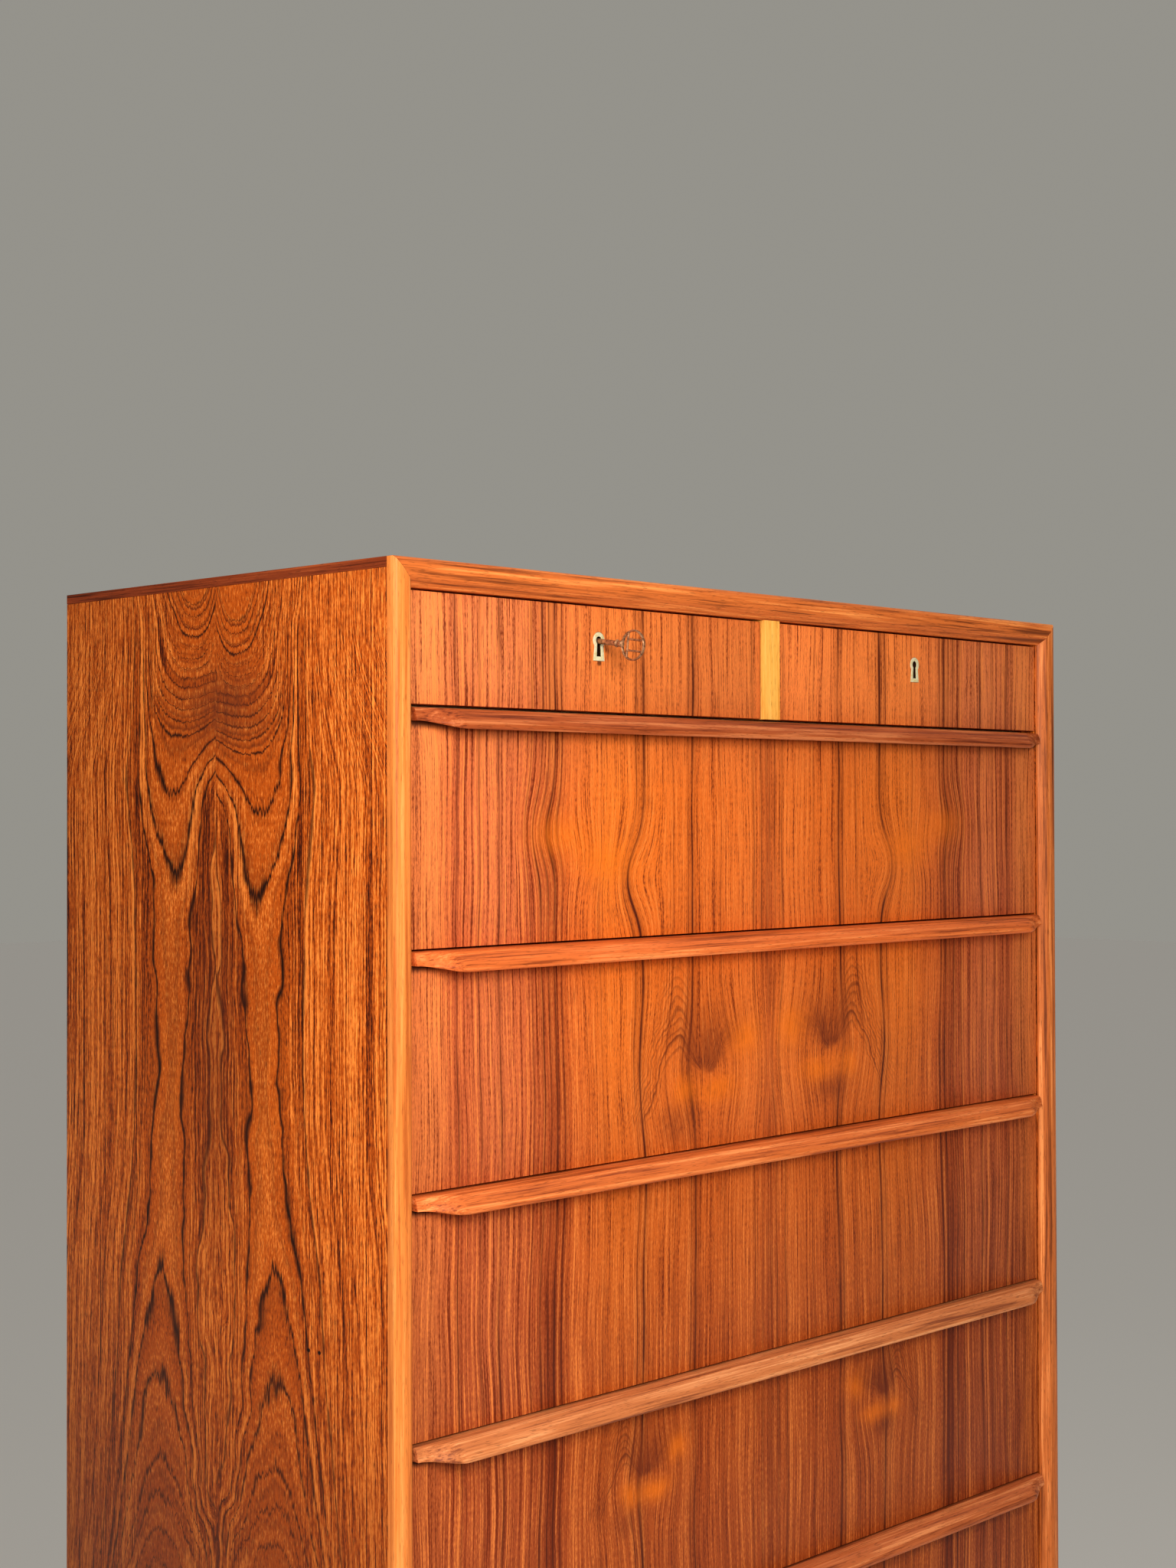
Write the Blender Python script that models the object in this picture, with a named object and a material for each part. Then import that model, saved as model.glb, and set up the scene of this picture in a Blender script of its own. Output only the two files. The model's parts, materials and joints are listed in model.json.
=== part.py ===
"""A tall chest of drawers in solid and veneered teak.

Two small locking drawers stand over five full-width drawers, each opened by the solid lip
along its top edge. Metres, +Z up, the front towards -Y. The origin is on the floor, under
the middle of the whole object.
"""

import math

import bmesh
import bpy
from mathutils import Matrix, Vector

# ---- driving dimensions: the case ----
WIDTH = 0.900
DEPTH = 0.440
BOARD = 0.022  # thickness of the side, top and bottom boards
LEG_LENGTH = 0.150
GAP = 0.0003  # between pieces that touch
LIPPING_DEPTH = 0.010  # solid edge in front of each board
CORNER = 0.008  # solid strip let into each top mitre
CORNER_ROUNDING = (0.0030, 0.0009)  # of its outer edge, along the faces and across
REBATE_DEPTH = 0.0086  # for the back panel, into the boards' rear edges
REBATE_INSET = 0.011
BACK_THICKNESS = 0.006
SHELF_THICKNESS = 0.012
SHELF_HOUSING = 0.006  # how far the shelf goes into the sides
DIVIDER_BOARD = 0.016
DIVIDER_STRIP = 0.021
DIVIDER_FRONT = 0.0068  # strip's face, behind the front of the case

# ---- driving dimensions: the drawers ----
SETBACK = 0.0106  # drawer faces, behind the front of the case
FRONT_THICKNESS = 0.020
SIDE_PLAY = 0.0010  # a front, at each end
SMALL_TOP = 0.0237  # below the top of the case
SMALL_HEIGHT = 0.0865
LARGE_TOP = 0.1126
LARGE_PITCHES = (0.1860, 0.1850, 0.1885, 0.1975, 0.2000)
LARGE_GAP = 0.0016
BOX_PLAY = 0.0015  # a drawer box, at each side
BOX_REAR = 0.4200  # behind the front of the case
LARGE_WALL = 0.012
SMALL_WALL = 0.010
BOX_DROP = 0.028  # box edge, below the top of a large front
BOX_RAISE = 0.006  # box bottom, above the foot of a large front
BOTTOM_PLY = 0.005
BOTTOM_RAISE = 0.008
GROOVE = 0.005
RUNNER_HEIGHT = 0.014
RUNNER_REACH = 0.008  # out from the case side
RUNNER_START = 0.045
RUNNER_END = 0.415

BOX_LOW_EDGE = 0.014  # a small drawer's box edge, below the top of its front
TRAY_BASE = (0.004, 0.008)  # bottom of a small box: its faces, above the foot
TRAY_HOUSING = 0.002
SHELF_PLAY = 0.0004  # under the small drawers
BOARD_BACKSET = 0.002  # of shelf and divider board, from the back panel's rebate
STRIP_SOFTENING = 0.0022  # rounding on the divider strip's front edges
RUNNER_PLAY = 0.0008  # between a runner's edge and the bottom of its groove
CLEAR = 0.01  # how far a cutter passes beyond a face

# ---- driving dimensions: lip pulls ----
LIP_ROOT = 0.0105
LIP_NOSE = 0.0165
LIP_REACH = 0.022
LIP_END_REACH = 0.0080
LIP_PLAY = 0.0020
LIP_SWEEP = 0.042
LIP_STEPS = 7
# out from the drawer face, down from the lip's top
LIP_FRONT = ((0.0, 0.0), (0.0130, 0.0010), (0.0158, 0.0028), (0.0183, 0.0056), (0.0205, 0.0093),
             (0.0220, 0.0130), (0.0218, 0.0150), (0.0206, 0.0165))
LIP_UNDER = ((0.0186, 0.0162), (0.0155, 0.0140), (0.0120, 0.0119), (0.0080, 0.0105))

# ---- driving dimensions: locks and key ----
KEY_DROP = 0.0277  # key axis, below the top of a small drawer
KEYHOLE_RADIUS = 0.0034
KEYHOLE_FOOT = 0.0132  # below the key axis
KEYHOLE_HALVES = (0.0015, 0.0022)  # half the slot's width, under the head and at its foot
INLAY_RADIUS = 0.0068
INLAY_FOOT = 0.0168
INLAY_HALVES = (0.0046, 0.0066)
PASSAGE = (0.0048, 0.0026, 0.0032)  # through the wood: radius, half widths
PASSAGE_MORE = 0.0012  # how far it goes below the keyhole's foot
INLAY_THICKNESS = 0.0020
INLAY_PROUD = 0.0003
LOCK_WIDTH = 0.050
LOCK_FOOT = 0.0444  # below the top of the drawer
LOCK_DEPTH = 0.0100
LOCK_WALL = 0.0015
LOCK_TOP = 0.0002  # below the top of the drawer
LOCK_TOP_WALL = 0.0018
LOCK_SUNK = 0.0001  # behind the back of the front
LOCK_HOLE = (0.0040, 0.0022, 0.0026)
BOLT_SIZE = (0.018, 0.0050, 0.0160)
BOLT_TRAVEL = 0.0080
MORTISE_PLAY = 0.0020  # at each end of a raised bolt
MORTISE_HALF = 0.0045  # half its width, front to back
MORTISE_DEPTH = 0.0090
BOLT_TOP = 0.0010  # below the top of the drawer when drawn back
KEY_DROOP = math.radians(8.0)  # the key hangs a little in its worn lock
KEY_SHIFT = 0.0006  # its axis, below the middle of the keyhole
KEY_STEM = 0.0023
KEY_BOW = 0.0128
KEY_BOW_RIM = 0.0014
KEY_BOW_WIDTH = 0.0032
KEY_BOW_CENTRE = 0.0389  # out from the drawer face
KEY_TIP = 0.0172  # in behind the drawer face
KEY_BOW_RIDGE = 0.0003
KEY_BAR = 0.0009  # half the width of the bars in the bow
KEY_UPRIGHT = (0.0051, 0.0073)  # its two edges, from the middle of the bow
KEY_RUNG = 0.0046  # above and below the middle
KEY_COLLAR = ((0.0, 0.0003), (0.0012, 0.0006), (0.0030, 0.0003), (0.0034, 0.0), (0.0050, 0.0),
              (0.0058, 0.0009), (0.0066, 0.0009), (0.0074, 0.0))  # along the stem, and the swelling
KEY_BIT = (0.0010, 0.0082, 0.0041, 0.0004)  # half its thickness, its reach, its span from the tip

# ---- driving dimensions: legs ----
LEG_TOP_RADIUS = 0.021
LEG_FOOT_RADIUS = 0.0125
LEG_INSET = 0.062
TENON_RADIUS = 0.010
TENON_LENGTH = 0.016
TURNED_STEPS = 24

CASE_HEIGHT = LARGE_TOP + sum(LARGE_PITCHES) + BOARD
HEIGHT = CASE_HEIGHT + LEG_LENGTH
KEY_REACH = KEY_BOW_CENTRE * math.cos(KEY_DROOP) + KEY_BOW - SETBACK  # in front of the case
FRONT_Y = -(DEPTH - KEY_REACH) / 2
HALF = WIDTH / 2
INSIDE = HALF - BOARD


# ---- helpers ----
def finish(name, colour, roughness, metallic=0.0):
    """A material with one Principled shader."""
    made = bpy.data.materials.new(name)
    made.use_nodes = True
    shader = made.node_tree.nodes["Principled BSDF"]
    shader.inputs["Base Color"].default_value = (*colour, 1.0)
    shader.inputs["Roughness"].default_value = roughness
    shader.inputs["Metallic"].default_value = metallic
    return made


def from_bmesh(name, bm):
    bmesh.ops.recalc_face_normals(bm, faces=bm.faces)
    mesh = bpy.data.meshes.new(name)
    bm.to_mesh(mesh)
    bm.free()
    made = bpy.data.objects.new(name, mesh)
    bpy.context.scene.collection.objects.link(made)
    return made


def block(name, low, high):
    """A box between two corners."""
    bm = bmesh.new()
    bmesh.ops.create_cube(bm, size=1.0)
    size = Vector(high) - Vector(low)
    middle = (Vector(high) + Vector(low)) / 2
    bmesh.ops.scale(bm, vec=size, verts=bm.verts)
    bmesh.ops.translate(bm, vec=middle, verts=bm.verts)
    return from_bmesh(name, bm)


def prism(name, outline, start, end, axis):
    """An outline extruded along Y or along Z; the outline's points are (x, z) or (x, y)."""
    bm = bmesh.new()
    place = {"Y": lambda a, b: (a, start, b), "Z": lambda a, b: (a, b, start)}[axis]
    face = bm.faces.new([bm.verts.new(place(a, b)) for a, b in outline])
    grown = bmesh.ops.extrude_face_region(bm, geom=[face])["geom"]
    along = Vector((0, end - start, 0)) if axis == "Y" else Vector((0, 0, end - start))
    moved = [part for part in grown if isinstance(part, bmesh.types.BMVert)]
    bmesh.ops.translate(bm, vec=along, verts=moved)
    return from_bmesh(name, bm)


def turned(name, profile, steps=TURNED_STEPS):
    """A profile of (radius, z) points, from the axis round to the axis, spun about Z."""
    bm = bmesh.new()
    points = [bm.verts.new((radius, 0, z)) for radius, z in profile]
    edges = [bm.edges.new(pair) for pair in zip(points, points[1:])]
    bmesh.ops.spin(bm, geom=points + edges, axis=(0, 0, 1), cent=(0, 0, 0), angle=math.tau,
                   steps=steps, use_merge=True)
    bmesh.ops.remove_doubles(bm, verts=bm.verts, dist=0.00001)
    return from_bmesh(name, bm)


def lofted(name, rings):
    """A skin over rings that have the same number of points, capped at both ends."""
    bm = bmesh.new()
    rows = [[bm.verts.new(point) for point in ring] for ring in rings]
    count = len(rows[0])
    for row, after in zip(rows, rows[1:]):
        for i in range(count):
            j = (i + 1) % count
            bm.faces.new((row[i], row[j], after[j], after[i]))
    bm.faces.new(rows[0])
    bm.faces.new(rows[-1])
    return from_bmesh(name, bm)


def combine(target, others, operation):
    """Booleans applied one after another; the other objects are used up."""
    for other in others:
        step = target.modifiers.new(operation, "BOOLEAN")
        step.operation = operation
        step.solver = "EXACT"
        step.object = other
        ready = target.evaluated_get(bpy.context.evaluated_depsgraph_get())
        mesh = bpy.data.meshes.new_from_object(ready)
        target.modifiers.clear()
        target.data = mesh
        bpy.data.objects.remove(other)
    target.data.name = target.name
    return target


def cut(target, *cutters):
    return combine(target, cutters, "DIFFERENCE")


def join(target, *others):
    return combine(target, others, "UNION")


def grown(low, high, by=GAP):
    return [a - by for a in low], [b + by for b in high]


def place(made, parent, material, at=(0, 0, 0)):
    """Hangs a piece on its group's empty and gives it its finish."""
    made.parent = parent
    made.location = at
    made.data.materials.clear()
    made.data.materials.append(material)
    return made


def smooth(made, angle=40):
    made.data.shade_smooth()
    made.data.set_sharp_from_angle(angle=math.radians(angle))
    return made


def group(name, at, parent=None):
    empty = bpy.data.objects.new(name, None)
    empty.empty_display_size = 0.05
    empty.location = at
    empty.parent = parent
    bpy.context.scene.collection.objects.link(empty)
    return empty


def ease(t):
    return t * t * (3 - 2 * t)


# ---- the case: y is 0 at its front and z is 0 at its top ----
def crown(across):
    """How far the rounded front of a lipping falls back, at a distance from its outer edge."""
    crest = 0.0085
    if across < crest:
        return 0.0032 * ((crest - across) / crest) ** 2
    return 0.0050 * ((across - crest) / (BOARD - crest)) ** 2


def lipping(name, run, steps=8):
    """One mitred strip. run turns (across, depth, which end) into a point."""
    outline = [(BOARD * i / steps, crown(BOARD * i / steps)) for i in range(steps + 1)]
    outline += [(BOARD, LIPPING_DEPTH), (0.0, LIPPING_DEPTH)]
    return smooth(lofted(name, [[run(a, d, end) for a, d in outline] for end in (-1, 1)]), 30)


def lippings(case, teak):
    """Left, right, top and bottom strips, mitred where they meet."""
    mitre = GAP / 2
    middle = -CASE_HEIGHT / 2
    tall = CASE_HEIGHT / 2 - mitre
    wide = HALF - mitre
    runs = {
        "lipping_left": lambda a, d, end: (a - HALF, d, middle + end * (tall - a)),
        "lipping_right": lambda a, d, end: (HALF - a, d, middle + end * (tall - a)),
        "lipping_top": lambda a, d, end: (end * (wide - a), d, -a),
        "lipping_bottom": lambda a, d, end: (end * (wide - a), d, a - CASE_HEIGHT),
    }
    for name, run in runs.items():
        place(lipping(name, run), case, teak)


def case_boards(case, veneer, solid, ply):
    """Four mitred boards, the corner strips let into the top mitres, and the back."""
    front = LIPPING_DEPTH + GAP
    foot = -CASE_HEIGHT
    half_gap = GAP / 2
    notch = CORNER + half_gap
    for side, sign in (("left", -1), ("right", 1)):
        outline = [(HALF, foot + half_gap), (HALF, -notch), (HALF - notch, -notch),
                   (HALF - BOARD, -BOARD - half_gap), (HALF - BOARD, foot + BOARD + half_gap)]
        outline = [(sign * x, z) for x, z in outline]
        board = prism(f"side_board_{side}", outline, front, DEPTH, "Y")
        cut(board, rebate(), shelf_block("cutter", GAP))
        place(board, case, veneer)
        round_off, bulge = CORNER_ROUNDING
        strip = [(HALF - CORNER, 0.0), (HALF - round_off, 0.0), (HALF - bulge, -bulge),
                 (HALF, -round_off), (HALF, -CORNER), (HALF - CORNER, -CORNER)]
        strip = [(sign * x, z) for x, z in strip]
        place(prism(f"corner_strip_{side}", strip, front, DEPTH, "Y"), case, solid)
    inner = HALF - CORNER - half_gap
    top = [(-inner, 0.0), (inner, 0.0), (inner, -notch), (INSIDE - GAP, -BOARD),
           (GAP - INSIDE, -BOARD), (-inner, -notch)]
    top_board = cut(prism("top_board", top, front, DEPTH, "Y"), rebate())
    mortise = BOLT_SIZE[0] / 2 + MORTISE_PLAY
    for centre in (-SMALL_CENTRE, SMALL_CENTRE):
        low = (centre - mortise, BOLT_Y - MORTISE_HALF, -BOARD - 0.001)
        high = (centre + mortise, BOLT_Y + MORTISE_HALF, -BOARD + MORTISE_DEPTH)
        cut(top_board, block("cutter", low, high))
    place(top_board, case, veneer)
    bottom = [(-HALF + GAP, foot), (HALF - GAP, foot), (INSIDE - GAP, foot + BOARD),
              (GAP - INSIDE, foot + BOARD)]
    bottom_board = cut(prism("bottom_board", bottom, front, DEPTH, "Y"), rebate())
    for x, y in leg_places():
        bore = turned("cutter", [(0, -0.001), (TENON_RADIUS + GAP, -0.001),
                                 (TENON_RADIUS + GAP, TENON_LENGTH + GAP), (0, TENON_LENGTH + GAP)])
        bore.location = (x, y, foot)
        cut(bottom_board, bore)
    place(bottom_board, case, veneer)
    edge = INSIDE + REBATE_INSET - GAP
    back_y = DEPTH - REBATE_DEPTH + GAP
    inset = BOARD - REBATE_INSET + GAP
    back = block("back_panel", (-edge, back_y, foot + inset), (edge, back_y + BACK_THICKNESS, -inset))
    place(back, case, ply)


def rebate():
    edge = INSIDE + REBATE_INSET
    inset = BOARD - REBATE_INSET
    low = (-edge, DEPTH - REBATE_DEPTH, inset - CASE_HEIGHT)
    return block("cutter", low, (edge, DEPTH + 0.01, -inset))


def shelf_block(name, by=0.0):
    """The shelf stands just under the small drawers and is housed in the sides."""
    top = -(SMALL_TOP + SMALL_HEIGHT + 0.0004)
    front = SETBACK + FRONT_THICKNESS + 0.001
    low = (-INSIDE - SHELF_HOUSING, front, top - SHELF_THICKNESS)
    high = (INSIDE + SHELF_HOUSING, DEPTH - REBATE_DEPTH - BOARD_BACKSET, top)
    return block(name, *grown(low, high, by))


def dividers(case, veneer, solid):
    shelf_top = -(SMALL_TOP + SMALL_HEIGHT + SHELF_PLAY)
    strip_back = SETBACK + FRONT_THICKNESS
    half = DIVIDER_BOARD / 2
    place(block("divider_board", (-half, strip_back + 0.001 + GAP, shelf_top + GAP),
                (half, DEPTH - REBATE_DEPTH - BOARD_BACKSET, -BOARD - GAP)), case, veneer)
    half = DIVIDER_STRIP / 2
    soft = STRIP_SOFTENING
    right = [(half - soft, DIVIDER_FRONT), (half - soft / 3, DIVIDER_FRONT + soft / 3),
             (half, DIVIDER_FRONT + soft), (half, strip_back)]
    outline = [(-x, y) for x, y in reversed(right)] + right
    place(prism("divider_strip", outline, shelf_top, -BOARD - GAP, "Z"), case, solid)


def leg_places():
    return [(x, y) for y in (LEG_INSET, DEPTH - LEG_INSET) for x in (-HALF + LEG_INSET, HALF - LEG_INSET)]


def legs(case, solid):
    """Turned legs that swell a little below the case and taper to the foot."""
    names = ("leg_front_left", "leg_front_right", "leg_back_left", "leg_back_right")
    steps = 6
    for name, (x, y) in zip(names, leg_places()):
        profile = [(0, -LEG_LENGTH), (LEG_FOOT_RADIUS - 0.001, -LEG_LENGTH)]
        for i in range(steps + 1):
            t = i / steps
            radius = LEG_FOOT_RADIUS + (LEG_TOP_RADIUS - LEG_FOOT_RADIUS) * math.sin(t * math.pi / 2)
            profile.append((radius, -LEG_LENGTH + 0.001 + t * (LEG_LENGTH - 0.001 - GAP)))
        profile += [(TENON_RADIUS, -GAP), (TENON_RADIUS, TENON_LENGTH), (0, TENON_LENGTH)]
        place(smooth(turned(name, profile)), case, solid, (x, y, -CASE_HEIGHT))


def runners(case, hardwood):
    """A pair of strips for each large drawer, fixed to the case sides."""
    top = -LARGE_TOP
    for number, pitch in enumerate(LARGE_PITCHES, 1):
        middle = top + runner_level(pitch)
        for side, sign in (("left", -1), ("right", 1)):
            x = sorted((sign * (INSIDE - GAP), sign * (INSIDE - RUNNER_REACH)))
            low = (x[0], RUNNER_START, middle - RUNNER_HEIGHT / 2)
            high = (x[1], RUNNER_END, middle + RUNNER_HEIGHT / 2)
            place(block(f"runner_{number}_{side}", low, high), case, hardwood)
        top -= pitch


# ---- a drawer: y is 0 at its face and z is 0 at its top ----
def runner_level(pitch):
    """Height of a runner's middle, from the top of its drawer."""
    high = -BOX_DROP
    low = -(pitch - LARGE_GAP) + BOX_RAISE
    return (high + low) / 2


def lip_section(x, from_end):
    """The lip's outline across x; towards its ends it draws in and loses its nose."""
    t = ease(min(1.0, from_end / LIP_SWEEP))
    scale = LIP_END_REACH / LIP_REACH + (1 - LIP_END_REACH / LIP_REACH) * t
    ring = [(x, FRONT_THICKNESS, -LIP_ROOT), (x, FRONT_THICKNESS, 0.0)]
    for out, down in LIP_FRONT + LIP_UNDER:
        nose = max(0.0, down - LIP_ROOT)
        ring.append((x, -out * scale, -(down - nose * (1 - t))))
    return ring


def lip_pull(name):
    end = INSIDE - LIP_PLAY
    sections = []
    for i in range(LIP_STEPS + 1):
        away = LIP_SWEEP * i / LIP_STEPS
        sections.append((-end + away, away))
    sections += [(-x, away) for x, away in reversed(sections)]
    return smooth(lofted(name, [lip_section(x, away) for x, away in sections]), 35)


def drawer_box(name, half, wall, low, high, rear):
    """Two sides and a back, glued up; open at the front, where they meet the drawer front."""
    front = FRONT_THICKNESS + GAP
    inner = half - wall
    outline = [(-half, front), (-inner, front), (-inner, rear - wall), (inner, rear - wall),
               (inner, front), (half, front), (half, rear), (-half, rear)]
    return prism(name, outline, low, high, "Z")


def large_drawer(number, top, pitch, finishes):
    drawer = group(f"large_drawer_{number}", (0, FRONT_Y + SETBACK, HEIGHT - top))
    foot = -(pitch - LARGE_GAP)
    rear = BOX_REAR - SETBACK
    half = INSIDE - BOX_PLAY
    inside = half - LARGE_WALL
    low, high = foot + BOX_RAISE, -BOX_DROP
    place(lip_pull(f"lip_pull_{number}"), drawer, finishes["solid"])

    ply_low = (-inside - GROOVE, FRONT_THICKNESS - GROOVE, low + BOTTOM_RAISE)
    ply_high = (inside + GROOVE, rear - LARGE_WALL + GROOVE, low + BOTTOM_RAISE + BOTTOM_PLY)
    edge = INSIDE - SIDE_PLAY
    front = block(f"drawer_front_{number}", (-edge, 0, foot), (edge, FRONT_THICKNESS, -LIP_ROOT - GAP))
    cut(front, block("cutter", *grown(ply_low, ply_high)))
    place(front, drawer, finishes["veneer"])

    box = drawer_box(f"drawer_box_{number}", half, LARGE_WALL, low, high, rear)
    cut(box, block("cutter", *grown(ply_low, ply_high)))
    middle = runner_level(pitch)
    for sign in (-1, 1):
        x = sorted((sign * (half + CLEAR), sign * (INSIDE - RUNNER_REACH - RUNNER_PLAY)))
        start = RUNNER_START - SETBACK - 0.005
        slot = RUNNER_HEIGHT / 2 + GAP
        low_corner = (x[0], start, middle - slot)
        cut(box, block("cutter", low_corner, (x[1], rear + CLEAR, middle + slot)))
    place(box, drawer, finishes["beech"])
    place(block(f"drawer_bottom_{number}", ply_low, ply_high), drawer, finishes["ply"])


# ---- the small locking drawers ----
def keyhole(head, waist, foot, drop, steps=14):
    """A round head over a slot that widens to its foot, about the key axis at (0, 0)."""
    opening = math.asin(waist / head)
    span = math.tau - 2 * opening
    points = []
    for i in range(steps + 1):
        angle = -math.pi / 2 + opening + span * i / steps
        points.append((head * math.cos(angle), head * math.sin(angle)))
    return points + [(-foot, -drop), (foot, -drop)]


def shifted(outline, dx, dz):
    return [(x + dx, z + dz) for x, z in outline]


def keyhole_prism(name, outline, front, back):
    return prism(name, shifted(outline, 0, -KEY_DROP), front, back, "Y")


def inlay(name):
    plate = keyhole(INLAY_RADIUS, *INLAY_HALVES, INLAY_FOOT, 20)
    hole = keyhole(KEYHOLE_RADIUS, *KEYHOLE_HALVES, KEYHOLE_FOOT)
    made = keyhole_prism(name, plate, -INLAY_PROUD, INLAY_THICKNESS - INLAY_PROUD)
    return cut(made, keyhole_prism("cutter", hole, -CLEAR, CLEAR))


def small_front(name, half):
    """Cut for the lock at the back, for its inlay in the face, and through for the key."""
    made = block(name, (-half, 0, -SMALL_HEIGHT), (half, FRONT_THICKNESS, 0))
    lock = LOCK_WIDTH / 2 + GAP
    pocket = block("cutter", (-lock, FRONT_THICKNESS - LOCK_DEPTH - GAP, -LOCK_FOOT - GAP),
                   (lock, FRONT_THICKNESS + CLEAR, CLEAR))
    waist, foot = INLAY_HALVES
    seat = keyhole(INLAY_RADIUS + GAP, waist + GAP, foot + GAP, INLAY_FOOT + GAP, 20)
    seat = keyhole_prism("cutter", seat, -CLEAR, INLAY_THICKNESS - INLAY_PROUD + GAP)
    through = keyhole(*PASSAGE, KEYHOLE_FOOT + PASSAGE_MORE)
    through = keyhole_prism("cutter", through, -CLEAR, FRONT_THICKNESS + CLEAR)
    return cut(made, pocket, seat, through)


def lock_case(name):
    """A hollow case with a keyhole in front and a slot in its top edge for the bolt."""
    half = LOCK_WIDTH / 2
    rear = FRONT_THICKNESS - LOCK_SUNK
    front = FRONT_THICKNESS - LOCK_DEPTH
    made = block(name, (-half, front, -LOCK_FOOT), (half, rear, -LOCK_TOP))
    hollow = block("cutter", (LOCK_WALL - half, front + LOCK_WALL, LOCK_WALL - LOCK_FOOT),
                   (half - LOCK_WALL, rear - LOCK_WALL, -LOCK_TOP - LOCK_TOP_WALL))
    wide, deep = BOLT_SIZE[0] / 2 + GAP, BOLT_SIZE[1] / 2 + GAP
    centre = BOLT_Y - SETBACK
    slot = block("cutter", (-wide, centre - deep, -CLEAR), (wide, centre + deep, CLEAR))
    hole = keyhole(*LOCK_HOLE, KEYHOLE_FOOT)
    hole = keyhole_prism("cutter", hole, front - CLEAR, front + LOCK_WALL + 0.001)
    return cut(made, hollow, slot, hole)


def tray(name, half):
    """The small drawer's box: sides, back and a bottom glued in."""
    rear = BOX_REAR - SETBACK
    foot = -SMALL_HEIGHT
    box = drawer_box(name, half, SMALL_WALL, foot, -BOX_LOW_EDGE, rear)
    edge = half - TRAY_HOUSING
    low, high = (foot + level for level in TRAY_BASE)
    base = block("base", (-edge, FRONT_THICKNESS + GAP, low), (edge, rear - TRAY_HOUSING, high))
    return join(box, base)


def key_bow(name):
    """The round rim of the key, a ridged ring in the plane of the stem."""
    rim = KEY_BOW - KEY_BOW_RIM
    half = KEY_BOW_WIDTH / 2
    shoulder = KEY_BOW - KEY_BOW_RIDGE
    section = [(rim, -half), (shoulder, -half), (KEY_BOW, 0), (shoulder, half), (rim, half)]
    bm = bmesh.new()
    ring = [bm.verts.new((radius, 0, z)) for radius, z in section]
    edges = [bm.edges.new((ring[i], ring[(i + 1) % len(ring)])) for i in range(len(ring))]
    bmesh.ops.spin(bm, geom=ring + edges, axis=(0, 0, 1), cent=(0, 0, 0), angle=math.tau,
                   steps=32, use_merge=True)
    upright = Matrix.Rotation(math.pi / 2, 3, "Y")
    bmesh.ops.rotate(bm, cent=(0, 0, 0), matrix=upright, verts=bm.verts)
    return from_bmesh(name, bm)


def key_ladder():
    """One bar across the bow and two rungs from it, each let a little into the rim."""
    rim = KEY_BOW - KEY_BOW_RIM
    bar, sunk = KEY_BAR, 0.0005
    near, far = KEY_UPRIGHT
    along = math.sqrt(rim * rim - ((near + far) / 2) ** 2) + sunk
    across = math.sqrt(rim * rim - KEY_RUNG ** 2) + sunk
    bars = [block("bar", (-bar, -along, near), (bar, along, far))]
    for level in (-KEY_RUNG, KEY_RUNG):
        bars.append(block("bar", (-bar, level - bar, -across), (bar, level + bar, near + 0.0004)))
    return bars


def key_shape(name):
    """A round bow with a ladder in it, a stem with a collar and a bit; its axis is Z."""
    far = KEY_BOW_CENTRE + KEY_TIP
    start = KEY_BOW - KEY_BOW_RIM + 0.0006
    profile = [(0, start)]
    profile += [(KEY_STEM + swell, start + along) for along, swell in KEY_COLLAR]
    stem = turned("stem", profile + [(KEY_STEM, far), (0, far)], 20)
    half, reach, low, high = KEY_BIT
    bit = block("bit", (-half, 0.0, far - low), (half, reach, far - high))
    return join(key_bow(name), *key_ladder(), stem, bit)


def small_drawer(side, sign, finishes):
    face = FRONT_Y + SETBACK
    drawer = group(f"small_drawer_{side}", (sign * SMALL_CENTRE, face, HEIGHT - SMALL_TOP))
    place(small_front(f"small_front_{side}", SMALL_HALF), drawer, finishes["veneer"])
    place(tray(f"small_box_{side}", SMALL_HALF - 0.001), drawer, finishes["beech"])
    place(lock_case(f"lock_case_{side}"), drawer, finishes["steel"])
    place(smooth(inlay(f"keyhole_inlay_{side}"), 30), drawer, finishes["brass"])
    wide, deep, tall = BOLT_SIZE
    bolt = block(f"lock_bolt_{side}", (-wide / 2, -deep / 2, -tall), (wide / 2, deep / 2, 0))
    place(bolt, drawer, finishes["steel"], (0, BOLT_Y - SETBACK, -BOLT_TOP))
    return drawer


def key(drawer, material):
    """Stands in the left lock; its parent empty lies on its axis, on the drawer's face."""
    pivot = group("key_axis", (0, 0, -KEY_DROP - KEY_SHIFT), drawer)
    pivot.rotation_euler = (KEY_DROOP - math.pi / 2, 0, 0)
    made = smooth(key_shape("key"), 35)
    place(made, pivot, material, (0, 0, -KEY_BOW_CENTRE))


# where the small drawers stand and how wide they are
SMALL_OUTER = INSIDE - SIDE_PLAY
SMALL_INNER = DIVIDER_STRIP / 2 + 0.0013
SMALL_CENTRE = (SMALL_OUTER + SMALL_INNER) / 2
SMALL_HALF = (SMALL_OUTER - SMALL_INNER) / 2
BOLT_Y = SETBACK + FRONT_THICKNESS - LOCK_DEPTH / 2


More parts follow.
